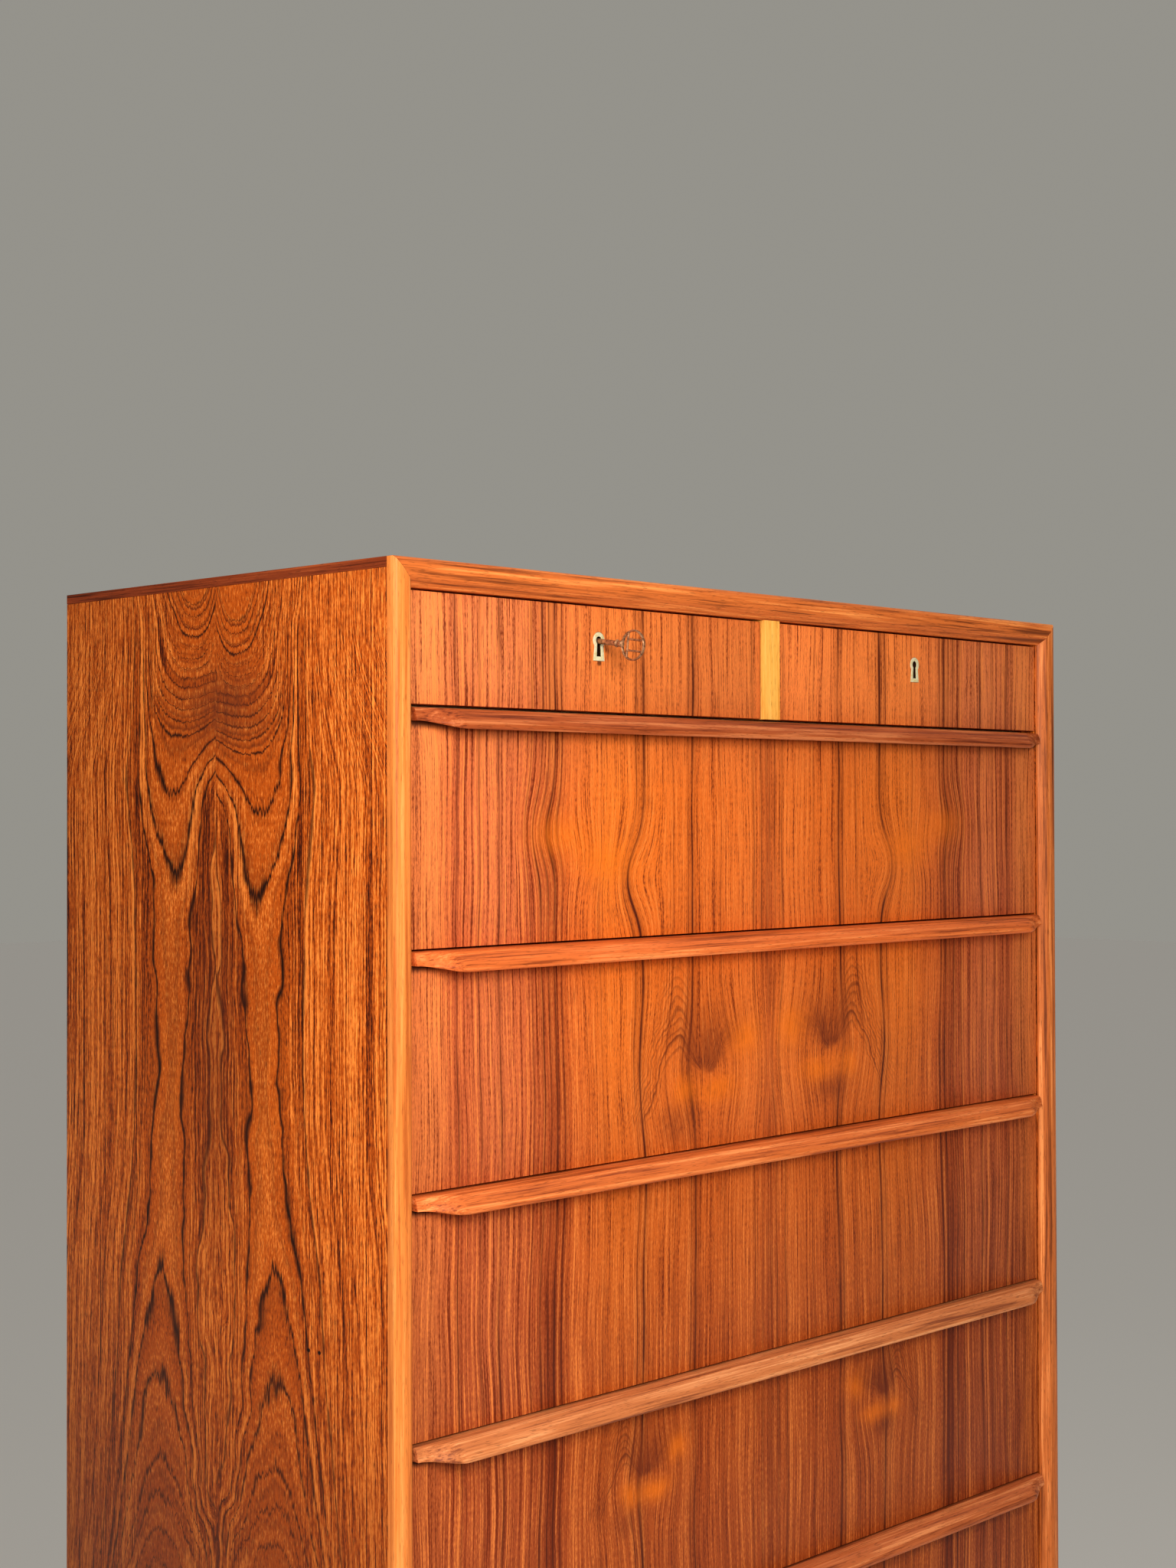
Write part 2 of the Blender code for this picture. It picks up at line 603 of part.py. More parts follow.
def main():
    for old in list(bpy.data.objects):
        bpy.data.objects.remove(old)
    finishes = {
        "veneer": finish("teak_veneer", (0.46, 0.17, 0.05), 0.45),
        "solid": finish("solid_teak", (0.55, 0.24, 0.08), 0.42),
        "dark": finish("dark_teak", (0.20, 0.07, 0.03), 0.50),
        "beech": finish("beech", (0.62, 0.45, 0.28), 0.60),
        "ply": finish("plywood", (0.50, 0.34, 0.20), 0.70),
        "steel": finish("lock_steel", (0.30, 0.29, 0.27), 0.40, 1.0),
        "brass": finish("pale_brass", (0.86, 0.76, 0.46), 0.35, 1.0),
        "bronze": finish("key_bronze", (0.34, 0.22, 0.13), 0.40, 1.0),
    }
    case = group("case", (0, FRONT_Y, HEIGHT))
    lippings(case, finishes["solid"])
    case_boards(case, finishes["veneer"], finishes["dark"], finishes["ply"])
    place(shelf_block("shelf"), case, finishes["ply"])
    dividers(case, finishes["ply"], finishes["solid"])
    legs(case, finishes["solid"])
    runners(case, finishes["beech"])

    top = LARGE_TOP
    for number, pitch in enumerate(LARGE_PITCHES, 1):
        large_drawer(number, top, pitch, finishes)
        top += pitch

    left = small_drawer("left", -1, finishes)
    small_drawer("right", 1, finishes)
    key(left, finishes["bronze"])


main()
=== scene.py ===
# %% [markdown]
# # A tall chest of drawers in teak
#
# The chest comes in as a frame: plain solids with the right sizes, joints and places. This
# lesson gives it its looks. Boards get softened edges and mitres, the lip pulls get their
# carved section, the locks get brass and the key gets its ladder, and then every piece gets a
# finish made from shader nodes alone: figured teak veneer, solid teak, beech, plywood, steel,
# brass and bronze. One rule runs through it all: the frame is never moved, so each new piece
# is built where its plain solid already stands.

import json
import math

import bmesh
import bpy
from mathutils import Matrix, Vector


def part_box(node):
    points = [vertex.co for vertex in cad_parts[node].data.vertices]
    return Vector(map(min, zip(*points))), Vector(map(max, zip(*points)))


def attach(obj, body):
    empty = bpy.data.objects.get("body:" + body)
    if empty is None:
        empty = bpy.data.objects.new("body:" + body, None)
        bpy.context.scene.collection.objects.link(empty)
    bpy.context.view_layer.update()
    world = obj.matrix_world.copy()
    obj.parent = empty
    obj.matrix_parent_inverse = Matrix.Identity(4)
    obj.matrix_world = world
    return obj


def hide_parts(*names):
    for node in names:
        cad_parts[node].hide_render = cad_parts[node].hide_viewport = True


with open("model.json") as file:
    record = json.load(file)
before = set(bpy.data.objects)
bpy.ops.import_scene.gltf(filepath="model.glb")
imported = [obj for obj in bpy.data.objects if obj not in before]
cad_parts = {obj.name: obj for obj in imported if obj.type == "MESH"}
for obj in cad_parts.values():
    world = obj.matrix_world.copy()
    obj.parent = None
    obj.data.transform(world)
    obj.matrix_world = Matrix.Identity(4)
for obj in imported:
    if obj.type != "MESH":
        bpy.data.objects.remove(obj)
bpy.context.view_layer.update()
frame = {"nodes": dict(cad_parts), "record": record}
body_of = {node: body
           for body, nodes in frame["record"]["behaviour"]["bodies"].items()
           for node in nodes}

# %% [markdown]
# ## Reading sizes off the frame
#
# A cabinet maker would hold a rule against the carcase. Here the boxes of a few solids give
# the same numbers: where the front is, how thick the boards are, and where the drawer faces
# stand. Working from the frame keeps every new piece in step with it if a size changes.

# %% Driving sizes
stile_low, stile_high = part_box("lipping_left")
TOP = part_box("lipping_top")[1].z
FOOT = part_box("lipping_bottom")[0].z
FRONT = stile_low.y
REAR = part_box("side_board_left")[1].y
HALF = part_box("lipping_right")[1].x
BOARD = stile_high.x - stile_low.x
INSIDE = HALF - BOARD
LIPPING_DEPTH = stile_high.y - stile_low.y
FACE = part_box("drawer_front_1")[0].y
GAP = 0.0003  # the play between two pieces that are glued or let in
SIDES = (("left", -1), ("right", 1))
LARGE = (1, 2, 3, 4, 5)
print("case", round(2 * HALF, 4), "wide,", round(TOP - FOOT, 4), "tall, face at", round(FACE, 4))

# %% Places of the two locks
inlay_low, inlay_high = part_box("keyhole_inlay_right")
INLAY_RADIUS = 0.0068
KEY_LEVEL = inlay_high.z - INLAY_RADIUS
INLAY_FOOT = KEY_LEVEL - inlay_low.z
SMALL_CENTRE = (inlay_low.x + inlay_high.x) / 2
print("keyholes", round(SMALL_CENTRE, 4), "from the middle, at a height of", round(KEY_LEVEL, 4))

# %% [markdown]
# ## The camera
#
# The chest is seen from its front left corner, at the height of its top edge, so both the
# side and the front are in view and the top is seen edge on. The camera is placed and aimed
# with three angles: a turn, a slight upward tilt and a hair of roll.

# %% Camera
CAMERA_PLACE = Vector((-1.56983, -1.48495, 1.04664))
TURN = math.radians(45.8979)
TILT = math.radians(0.7755)
ROLL = math.radians(-0.1574)


def aim(turn, tilt, roll):
    """A camera looks along its own -Z; these are its axes, turned, tilted and rolled."""
    forward = Vector((math.sin(turn) * math.cos(tilt), math.cos(turn) * math.cos(tilt),
                      math.sin(tilt)))
    across = Vector((math.cos(turn), -math.sin(turn), 0))
    up = across.cross(forward)
    right = across * math.cos(roll) + up * math.sin(roll)
    above = -across * math.sin(roll) + up * math.cos(roll)
    return Matrix((right, above, -forward)).transposed()


lens = bpy.data.cameras.new("studio camera")
lens.lens = 52.197
lens.sensor_width = 36
lens.clip_start = 0.05
camera = bpy.data.objects.new("studio camera", lens)
camera.matrix_world = Matrix.Translation(CAMERA_PLACE) @ aim(TURN, TILT, ROLL).to_4x4()
bpy.context.scene.collection.objects.link(camera)
bpy.context.scene.camera = camera
print("camera", round((CAMERA_PLACE - Vector((0, FRONT, TOP))).length, 3), "m from the front")

# %% [markdown]
# ## The studio's walls and ceiling
#
# The light in a studio comes mostly from above, off a white ceiling, and hardly at all from
# the grey walls. One world can do both jobs. What the camera sees is a plain grey, and what
# the chest is lit by is a glow that grows from a little above the horizon to nearly overhead.
# The strength follows the height of the direction, and a Light Path node keeps the two apart.

# %% Walls and ceiling
bpy.context.scene.view_settings.view_transform = "Standard"
WALL_GREY = (0.30, 0.29, 0.26, 1)
CEILING_WHITE = (1.0, 0.97, 0.93, 1)
# the glow starts at the first height and is full at the second, as parts of a unit sphere
CEILING = {"From Min": 0.35, "From Max": 0.75, "To Min": 0.08, "To Max": 0.56}

sky = bpy.data.worlds.new("pale studio")
bpy.context.scene.world = sky
sky.use_nodes = True
nodes, links = sky.node_tree.nodes, sky.node_tree.links
walls = nodes["Background"]
walls.inputs["Color"].default_value = WALL_GREY
ceiling = nodes.new("ShaderNodeBackground")
ceiling.inputs["Color"].default_value = CEILING_WHITE
direction = nodes.new("ShaderNodeTexCoord")
height = nodes.new("ShaderNodeSeparateXYZ")
glow = nodes.new("ShaderNodeMapRange")
for socket, number in CEILING.items():
    glow.inputs[socket].default_value = number
seen = nodes.new("ShaderNodeLightPath")
either = nodes.new("ShaderNodeMixShader")
links.new(direction.outputs["Generated"], height.inputs[0])
links.new(height.outputs["Z"], glow.inputs["Value"])
links.new(glow.outputs[0], ceiling.inputs["Strength"])
links.new(seen.outputs["Is Camera Ray"], either.inputs[0])
links.new(ceiling.outputs[0], either.inputs[1])
links.new(walls.outputs[0], either.inputs[2])
links.new(either.outputs[0], nodes["World Output"].inputs["Surface"])
print("ceiling glow from", CEILING["To Min"], "to", CEILING["To Max"])

# %% [markdown]
# ## Two soft lamps
#
# A square lamp stands to the left of the front and a little above the chest, near enough for
# its light to fall away over the drawers. A weaker one lights the side. Both are large, as
# lamps with a cloth over them are, so that no edge throws a hard shadow.

# %% Lamps
LAMP_WHITE = (1, 0.97, 0.92)


def lamp(name, place, target, size, power):
    """A square soft lamp that faces a target."""
    light = bpy.data.lights.new(name, "AREA")
    light.size = size
    light.energy = power
    light.color = LAMP_WHITE
    holder = bpy.data.objects.new(name, light)
    holder.location = place
    holder.rotation_euler = (Vector(target) - Vector(place)).to_track_quat("-Z", "Y").to_euler()
    bpy.context.scene.collection.objects.link(holder)


lamp("front lamp", (-1.10, -1.70, 1.45), (-0.25, FRONT, 1.00), 0.7, 32)
lamp("side lamp", (-1.9, -0.75, 1.7), (-HALF, 0, 0.9), 0.8, 17)

# %% [markdown]
# ## Two everyday helpers
#
# Everything below is done with the same operators as by hand. They act on whatever is
# selected, so each step begins with nothing selected. A board starts as a cube of its own
# size, and its place is then written into its mesh, which leaves the object itself at the
# origin: patterns that read object coordinates stay put when a drawer moves.


# %% Starting a board
def clear_selection():
    if bpy.context.object and bpy.context.object.mode == "EDIT":
        bpy.ops.object.mode_set(mode="OBJECT")
    bpy.ops.object.select_all(action="DESELECT")


def only(piece):
    """Selects one piece and makes it active."""
    clear_selection()
    piece.select_set(True)
    bpy.context.view_layer.objects.active = piece


def write_place():
    """Writes the place, turn and size of the selected piece into its mesh."""
    bpy.ops.object.transform_apply(location=True, rotation=True, scale=True)


def block(name, low, high):
    """A board between two corners."""
    clear_selection()
    low, high = Vector(low), Vector(high)
    bpy.ops.mesh.primitive_cube_add(size=1, location=(low + high) / 2, scale=high - low)
    piece = bpy.context.object
    piece.name = name
    write_place()
    return piece


def grown(corners, by):
    """A box made larger all round."""
    low, high = corners
    return Vector(low) - Vector((by, by, by)), Vector(high) + Vector((by, by, by))


# %% [markdown]
# Sawn edges are never knife sharp: sandpaper takes a few tenths of a millimetre off them, and
# that narrow band is what catches the light. A Bevel modifier does this on every sharp edge
# at once. Mortises, rebates and grooves are cut with a Boolean, whose cutter is thrown away.


# %% Softening edges and cutting
def carry_out(piece, step):
    only(piece)
    bpy.ops.object.modifier_apply(modifier=step.name)
    return piece


def soften(piece, width=0.0004, segments=2, angle=30):
    step = piece.modifiers.new("sanded edges", "BEVEL")
    step.width = width
    step.segments = segments
    step.limit_method = "ANGLE"
    step.angle_limit = math.radians(angle)
    return carry_out(piece, step)


def boolean(piece, tool, operation):
    step = piece.modifiers.new("cut", "BOOLEAN")
    step.operation = operation
    step.solver = "EXACT"
    step.object = tool
    carry_out(piece, step)
    bpy.data.objects.remove(tool)
    return piece


def cut(piece, *tools):
    for tool in tools:
        boolean(piece, tool, "DIFFERENCE")
    return piece


def weld(piece, *others):
    for other in others:
        boolean(piece, other, "UNION")
    return piece


def saw(piece, through, away):
    """A straight saw cut: what lies beyond the blade, on the side it faces, drops off."""
    only(piece)
    bpy.ops.object.mode_set(mode="EDIT")
    bpy.ops.mesh.select_all(action="SELECT")
    bpy.ops.mesh.bisect(plane_co=through, plane_no=away, use_fill=True, clear_outer=True)
    bpy.ops.object.mode_set(mode="OBJECT")
    return piece


# %% [markdown]
# ## Handing a piece over
#
# A finished piece takes its finish, rides on the body that its plain solid rides on, and
# stands for that solid. Smooth shading by angle keeps flat faces flat and round ones round.

# %% Finishing off
made_pieces = []


def hand_over(piece, node, angle=30):
    """The piece now stands for a node, and rides on the body that the node rides on."""
    only(piece)
    bpy.ops.object.shade_smooth_by_angle(angle=math.radians(angle))
    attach(piece, body_of[node])
    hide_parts(node)
    made_pieces.append(piece.name)


def paint(piece, material):
    piece.data.materials.clear()
    piece.data.materials.append(material)


# %% [markdown]
# ## Shader sums
#
# A wood recipe is mostly arithmetic: distance from the heart, plus a little wander, cut into
# rings. Written as nodes by hand that soon fills a wall. A small class wraps a socket, so that
# adding or multiplying two of them adds the Math node, and one method makes any other node
# from its type, its settings and the values or links of its sockets.


# %% A socket that can be added and multiplied
class Wire:
    def __init__(self, tree, socket):
        self.tree = tree
        self.socket = socket

    def node(self, kind, settings, inputs, output=0):
        made = self.tree.nodes.new("ShaderNode" + kind)
        for name, value in settings.items():
            if name == "stops":
                set_stops(made.color_ramp, value)
            else:
                setattr(made, name, value)
        for name, value in inputs.items():
            if isinstance(value, Wire):
                self.tree.links.new(value.socket, made.inputs[name])
            else:
                made.inputs[name].default_value = value
        return Wire(self.tree, made.outputs[output])

    def math(self, operation, *values):
        return self.node("Math", {"operation": operation}, dict(enumerate(values)))

    def __add__(self, other):
        return self.math("ADD", self, other)

    def __sub__(self, other):
        return self.math("SUBTRACT", self, other)

    def __rsub__(self, other):
        return self.math("SUBTRACT", other, self)

    def __mul__(self, other):
        return self.math("MULTIPLY", self, other)

    def __pow__(self, other):
        return self.math("POWER", self, other)

    def __abs__(self):
        return self.math("ABSOLUTE", self)

    __radd__ = __add__
    __rmul__ = __mul__


def set_stops(ramp, stops):
    """A colour ramp's stops as (position, colour)."""
    while len(ramp.elements) < len(stops):
        ramp.elements.new(1.0)
    for element, (position, colour) in zip(ramp.elements, stops):
        element.position = position
        element.color = (*colour, 1.0)


# %% Words the recipes use
def join(x, y, z):
    """Three numbers or wires made one place."""
    one = next(value for value in (x, y, z) if isinstance(value, Wire))
    return one.node("CombineXYZ", {}, {0: x, 1: y, 2: z})


def rise(value, start, end, low=0.0, high=1.0):
    """Soft step from low to high while a value goes from start to end."""
    return value.node("MapRange", {"interpolation_type": "SMOOTHSTEP"},
                      {0: value, 1: start, 2: end, 3: low, 4: high})


def noise(place, detail=2.0, roughness=0.5):
    """Noise about zero, from -0.5 to 0.5, with its scale already in the place."""
    made = place.node("TexNoise", {}, {"Vector": place, "Scale": 1.0, "Detail": detail,
                                       "Roughness": roughness})
    return made - 0.5


def spot(x, z, centre_x, centre_z, wide, tall):
    """A soft round spot."""
    across = (x - centre_x) * (1 / wide)
    up = (z - centre_z) * (1 / tall)
    reach = (across * across + up * up) * -1.0
    return reach.math("EXPONENT", reach)


def line(value, at, half):
    """A thin soft line where a value passes a number."""
    return rise(abs(value - at), 0.0, half, 1.0, 0.0)


def blend(factor, a, b):
    """From colour a to colour b as the factor goes from 0 to 1."""
    one = next(value for value in (factor, a, b) if isinstance(value, Wire))
    colours = {slot: value if isinstance(value, Wire) else (*value, 1.0)
               for slot, value in ((6, a), (7, b))}
    return one.node("Mix", {"data_type": "RGBA"}, {0: factor, **colours}, 2)


# %% A new finish, and pouring it out
SHEEN = 0.15  # a thin oil finish reflects little


def recipe(name, roughness, metallic=0.0):
    """A new material: its Principled shader and the x, y and z of the object."""
    material = bpy.data.materials.new(name)
    material.use_nodes = True
    tree = material.node_tree
    shader = tree.nodes["Principled BSDF"]
    shader.inputs["Roughness"].default_value = roughness
    shader.inputs["Metallic"].default_value = metallic
    shader.inputs["Specular IOR Level"].default_value = SHEEN
    place = Wire(tree, tree.nodes.new("ShaderNodeTexCoord").outputs["Object"])
    x, y, z = (place.node("SeparateXYZ", {}, {0: place}, axis) for axis in range(3))
    return material, shader, x, y, z


def pour(shader, colour, roughness=None, height=None, strength=0.2, distance=0.0004):
    """Links the colour, and if given the roughness and a bump."""
    tree = colour.tree
    tree.links.new(colour.socket, shader.inputs["Base Color"])
    if roughness is not None:
        tree.links.new(roughness.socket, shader.inputs["Roughness"])
    if height is not None:
        bump = height.node("Bump", {}, {"Strength": strength, "Distance": distance,
                                        "Height": height})
        tree.links.new(bump.socket, shader.inputs["Normal"])


# %% [markdown]
# ## Veneer on the sides: one figured sheet, opened like a book
#
# The sides carry the wildest figure of the chest. Two neighbouring leaves, sliced from one
# log, were opened like the pages of a book and glued edge to edge, so the figure mirrors in
# the middle. A flat saw cut through a tree gives nested arches, because it leaves each growth
# ring twice. The same thing can be written as one number: how far a point lies from the
# middle of the leaf, plus how deep the cut has gone at that height. Where that number passes
# a whole value a ring comes to the surface. It could be painted as an image, but a formula
# keeps its crispness close up, and it never repeats.


# %% Colours as card values
def stain(red, green, blue):
    """A colour card value from 0 to 255, turned into the linear value that a shader takes."""
    return tuple(((c / 255 + 0.055) / 1.055) ** 2.4 if c > 10 else c / 3295
                 for c in (red, green, blue))


# %% The rings of the side veneer
def side_rings(side, run, back_leaf):
    """Distance from the heart line, the ring that comes to the surface, and the grain's wander.

    side is the distance from the seam and run the distance below the top, both in metres.
    """
    wander = noise(join(side * 16, back_leaf * 0.15, run * 11), 2)
    wander = wander * rise(run, 0.18, 0.30, 0.020, 0.050) * rise(side, 0.08, 0.12, 1.0, 0.15)
    ragged = noise(join(side * 520, 0.0, run * 22), 2) * rise(run, 0.12, 0.18, 0.006, 0.026)
    heart = rise(run, 0.02, 0.17, 0.024, 0.060) + rise(run, 0.40, 0.58, 0.0, 0.017)
    off = side - heart + wander
    outer_pull = rise(run, 0.0, 0.17, 2500, 1350)
    inner_pull = rise(run, 0.045, 0.080, 5200, 420) + rise(run, 0.125, 0.19, 0, 950)
    pull = rise(off, -0.003, 0.003)
    pull = pull * outer_pull + (1 - pull) * inner_pull
    sawn = run + ragged
    depth = (sawn - sawn * sawn * 1.25) * 42 + rise(sawn, 0.0, 0.14) * 11
    depth = depth - rise(run, 0.26, 0.38, 0.0, 0.55) + rise(run, 0.44, 0.55, 0.0, 0.55)
    depth = depth + rise(run, 0.55, 0.75)
    ring = off * off * pull + depth
    ring = ring + noise(join(side * 60, back_leaf * 0.1, run * 14), 3) * 0.6
    return off, ring, wander


# %% [markdown]
# Where growth stood still for a while the wood is almost black, so a few chosen rings are
# strong dark lines that swell and thin out, and every ring in the calm middle has a faint one.

# %% Dark rings of the side veneer
SIDE_BLACK = stain(32, 9, 2)
# a strong line: its ring, half its width in rings, how dark
STRONG_RINGS = (
    (1.5, 0.16, 0.7), (2.6, 0.15, 0.8), (3.6, 0.13, 0.6), (4.7, 0.30, 1.0), (6.2, 0.13, 0.6),
    (7.4, 0.13, 0.9), (8.6, 0.13, 0.9), (9.7, 0.12, 0.9), (10.8, 0.13, 0.9), (12.1, 0.14, 1.0),
    (13.2, 0.14, 0.9), (14.3, 0.14, 0.9), (15.3, 0.16, 1.0), (16.75, 0.20, 1.0),
    (18.1, 0.26, 1.0), (19.6, 0.26, 1.0), (22.4, 0.40, 0.8))


def late_wood(colour, off, ring, side, run, back_leaf):
    """Draws the faint and the strong ring lines over a colour."""
    part = ring.math("FRACT", ring)
    whole = ring.math("FLOOR", ring)
    chance = whole.node("TexWhiteNoise", {"noise_dimensions": "1D"}, {"W": whole * 0.731})
    faint = rise(part, 0.55, 0.92) * rise(part, 0.92, 1.0, 1.0, 0.0) * (chance * 0.7 + 0.3)
    calm = rise(abs(off), 0.030, 0.075, 1.0, 0.0)
    calm = calm * rise(ring, 0.4, 1.6)
    colour = blend(faint * calm * rise(run, 0.10, 0.16, 0.95, 0.60), colour, stain(84, 26, 4))
    swell = noise(join(side * 45, back_leaf, run * 26), 2)
    for at, half, weight in STRONG_RINGS:
        width = rise(swell, -0.10, 0.20, half * 0.5, half * 1.7)
        colour = blend(line(ring, at, width) * weight, colour, SIDE_BLACK)
    return colour


# %% [markdown]
# The recipe lays these together: the rings, fine stripes towards the edges, the strong lines,
# a smoky cloud over the lower bowls, and pores. The pores are tiny cuts along the grain, so
# they darken the colour and dent the bump. In the left side are two small pin holes, not cut
# but painted as dark spots of shade.

# %% Side veneer
SEAM_DEPTH = 0.2225  # from the front of the case to the seam between the leaves
PIN_HOLES = (0.0907, 0.1038)  # from the front of the case
PIN_HOLE_LEVEL = 0.610  # below the top


def side_veneer():
    material, shader, x, y, z = recipe("book-matched teak", 0.46)
    below = TOP - z
    leaf = y - (FRONT + SEAM_DEPTH)
    back_leaf = rise(leaf, -0.0004, 0.0004)
    # the two leaves slipped a little against each other when they were taped up
    slip = rise(below, 0.28, 0.52, -0.018, 0.0)
    slip = slip + back_leaf * rise(below, 0.28, 0.52, 0.017, -0.020)
    run = below + slip
    side = abs(leaf)
    off, ring, wander = side_rings(side, run, back_leaf)

    # lively where fine stripes run, calm in the lobes
    away = rise(off, 0.022, 0.045)
    heartwood = rise(side, 0.028, 0.050, 1.0, 0.0) * rise(run, 0.14, 0.18)
    lively = (away + heartwood).math("MINIMUM", away + heartwood, 1.0)
    straight = side + wander * 0.3
    streaks = noise(join(ring * 1.0, back_leaf * 0.1, run * 1.4), 4, 0.70)
    stripes = noise(join(straight * 470, back_leaf, run * 2.0), 4, 0.80)
    dashes = noise(join(straight * 1000, back_leaf, z * 40), 2)
    mottle = noise(join(side * 620, 0.0, z * 210), 2)
    tone = streaks * (lively * 1.4 + 0.62) + stripes * (lively * 2.3 + 0.25)
    tone = tone + dashes * (lively * 0.9 + 0.5) + mottle * (1.0 - lively * 0.2)

    colour = blend(rise(tone, -0.34, -0.02), stain(104, 34, 4), stain(184, 78, 11))
    colour = blend(rise(tone, -0.02, 0.34), colour, stain(248, 138, 54))
    colour = blend(rise(tone, -0.28, -0.46) * 0.8, colour, SIDE_BLACK)

    # warm wood in the lobes
    lobes = spot(side, run, 0.067, 0.415, 0.026, 0.060)
    lobes = lobes + spot(side, run, 0.060, 0.545, 0.018, 0.040) * 0.8
    grown = noise(join(side * 60, back_leaf, run * 16), 3)
    lobes = lobes * rise(grown, -0.20, 0.25, 0.0, 1.0)
    colour = blend(lobes * 0.42, colour, stain(222, 112, 30))
    colour = late_wood(colour, off, ring, side, run, back_leaf)

    # smoke over the lower bowls, brown wood between the lobes, and a darker foot
    smoke = spot(leaf, below, -0.010, 0.106, 0.060, 0.032)
    smoke = smoke * rise(noise(join(side * 90, 0.0, below * 40), 3), -0.25, 0.25, 0.55, 1.0)
    colour = blend(smoke * 0.90, colour, stain(96, 40, 20))
    shade = spot(side, run, 0.0, 0.38, 0.036, 0.17)
    colour = blend(shade * 0.50, colour, stain(96, 38, 18))
    foot = rise(below, 0.50, 0.85)
    colour = blend(foot * 0.50, colour, stain(104, 40, 8))

    # two pin holes, in the left side only, painted as dark spots for the shade inside them
    left_side = rise(x, 0.01, -0.01)
    for back in PIN_HOLES:
        hole = spot(y, below, FRONT + back, PIN_HOLE_LEVEL, 0.0021, 0.0018) * left_side
        colour = blend(rise(hole, 0.2, 0.7), colour, stain(16, 6, 3))

    pores = rise(noise(join(side * 1300, back_leaf, z * 110), 1), 0.08, 0.18)
    colour = blend(pores * 0.55, colour, SIDE_BLACK)
    pour(shader, colour, rise(stripes, -0.3, 0.3, 0.40, 0.52), pores * -1.0 + dashes * 0.5, 0.25)
    return material


# %% [markdown]
# ## Veneer on the drawers: straight grain with knots
#
# All seven fronts were cut from one pair of leaves and numbered, so the grain runs on from
# drawer to drawer, down the whole front. The seam is in the middle. The grain is nearly
# straight: calm orange wood beside the seam with a few dark lines, and brown wood with fine
# stripes towards the ends. Two pairs of knots push it aside. Straight grain is a function of
# the distance from the seam alone, so a colour ramp holds it, and a knot is a soft spot that
# stretches and turns the place where the ramp is read.

# %% The grain of the drawer veneer
SEAM_X = -0.002
# a knot: its height, its distance from the seam, its size
KNOTS = ((0.823, 0.089, 1.0), (0.490, 0.165, 0.72))
# dark lines: distance from the seam, half their width, how dark
GRAIN_LINES = ((0.002, 0.0030, 0.40), (0.010, 0.0014, 0.6), (0.021, 0.0014, 0.6), (0.064, 0.0011, 0.4),
               (0.101, 0.0030, 0.85), (0.107, 0.0013, 0.6), (0.128, 0.0012, 0.4), (0.164, 0.0032, 0.9),
               (0.172, 0.0014, 0.6), (0.214, 0.0012, 0.4), (0.262, 0.0018, 0.7), (0.270, 0.0024, 0.9),
               (0.277, 0.0016, 0.7), (0.285, 0.0021, 0.8), (0.297, 0.0014, 0.6), (0.331, 0.0020, 0.7),
               (0.352, 0.0014, 0.6), (0.377, 0.0016, 0.7))
# the leaf's colours: distance from the seam as a part of LEAF, colour
LEAF = 0.45
LEAF_COLOURS = (
    (0.00, stain(212, 98, 38)), (0.05, stain(230, 112, 40)), (0.20, stain(222, 104, 32)),
    (0.45, stain(232, 114, 34)), (0.55, stain(216, 102, 38)), (0.60, stain(192, 84, 34)),
    (0.66, stain(198, 92, 46)), (0.75, stain(214, 108, 60)), (0.84, stain(198, 92, 48)),
    (0.90, stain(226, 122, 62)), (1.00, stain(212, 106, 52)))


def drawer_flow(side, height, right_leaf):
    """Which line of the grain a point lies on, as that line's distance from the seam."""
    wander = noise(join(side * 9, right_leaf * 0.2, height * 3.4), 2) * 0.026
    flow = side + wander * rise(side, 0.0, 0.03)
    # the grain bows round the knots and round a ripple beside the locks
    for level, out, size in KNOTS:
        near = spot(side, height, out, level, 0.060 * size, 0.052 * size)
        flow = flow - (side - out) * near * 0.50
    flow = flow - spot(side, height, 0.180, 0.992, 0.030, 0.034) * 0.017
    flow = flow - spot(side, height, 0.282, 1.034, 0.030, 0.030) * 0.010
    return flow + spot(side, height, 0.230, 1.010, 0.026, 0.030) * 0.008


print("knots", len(KNOTS), "on each leaf,", len(GRAIN_LINES), "dark lines")

# %% [markdown]
# A knot is where a branch grew out. The grain hooks over it in arches, and smoke-dark wood
# fans up from it like hair. The fan follows the angle round the knot, which the arctangent
# gives, and the arches follow a hyperbola beside it.


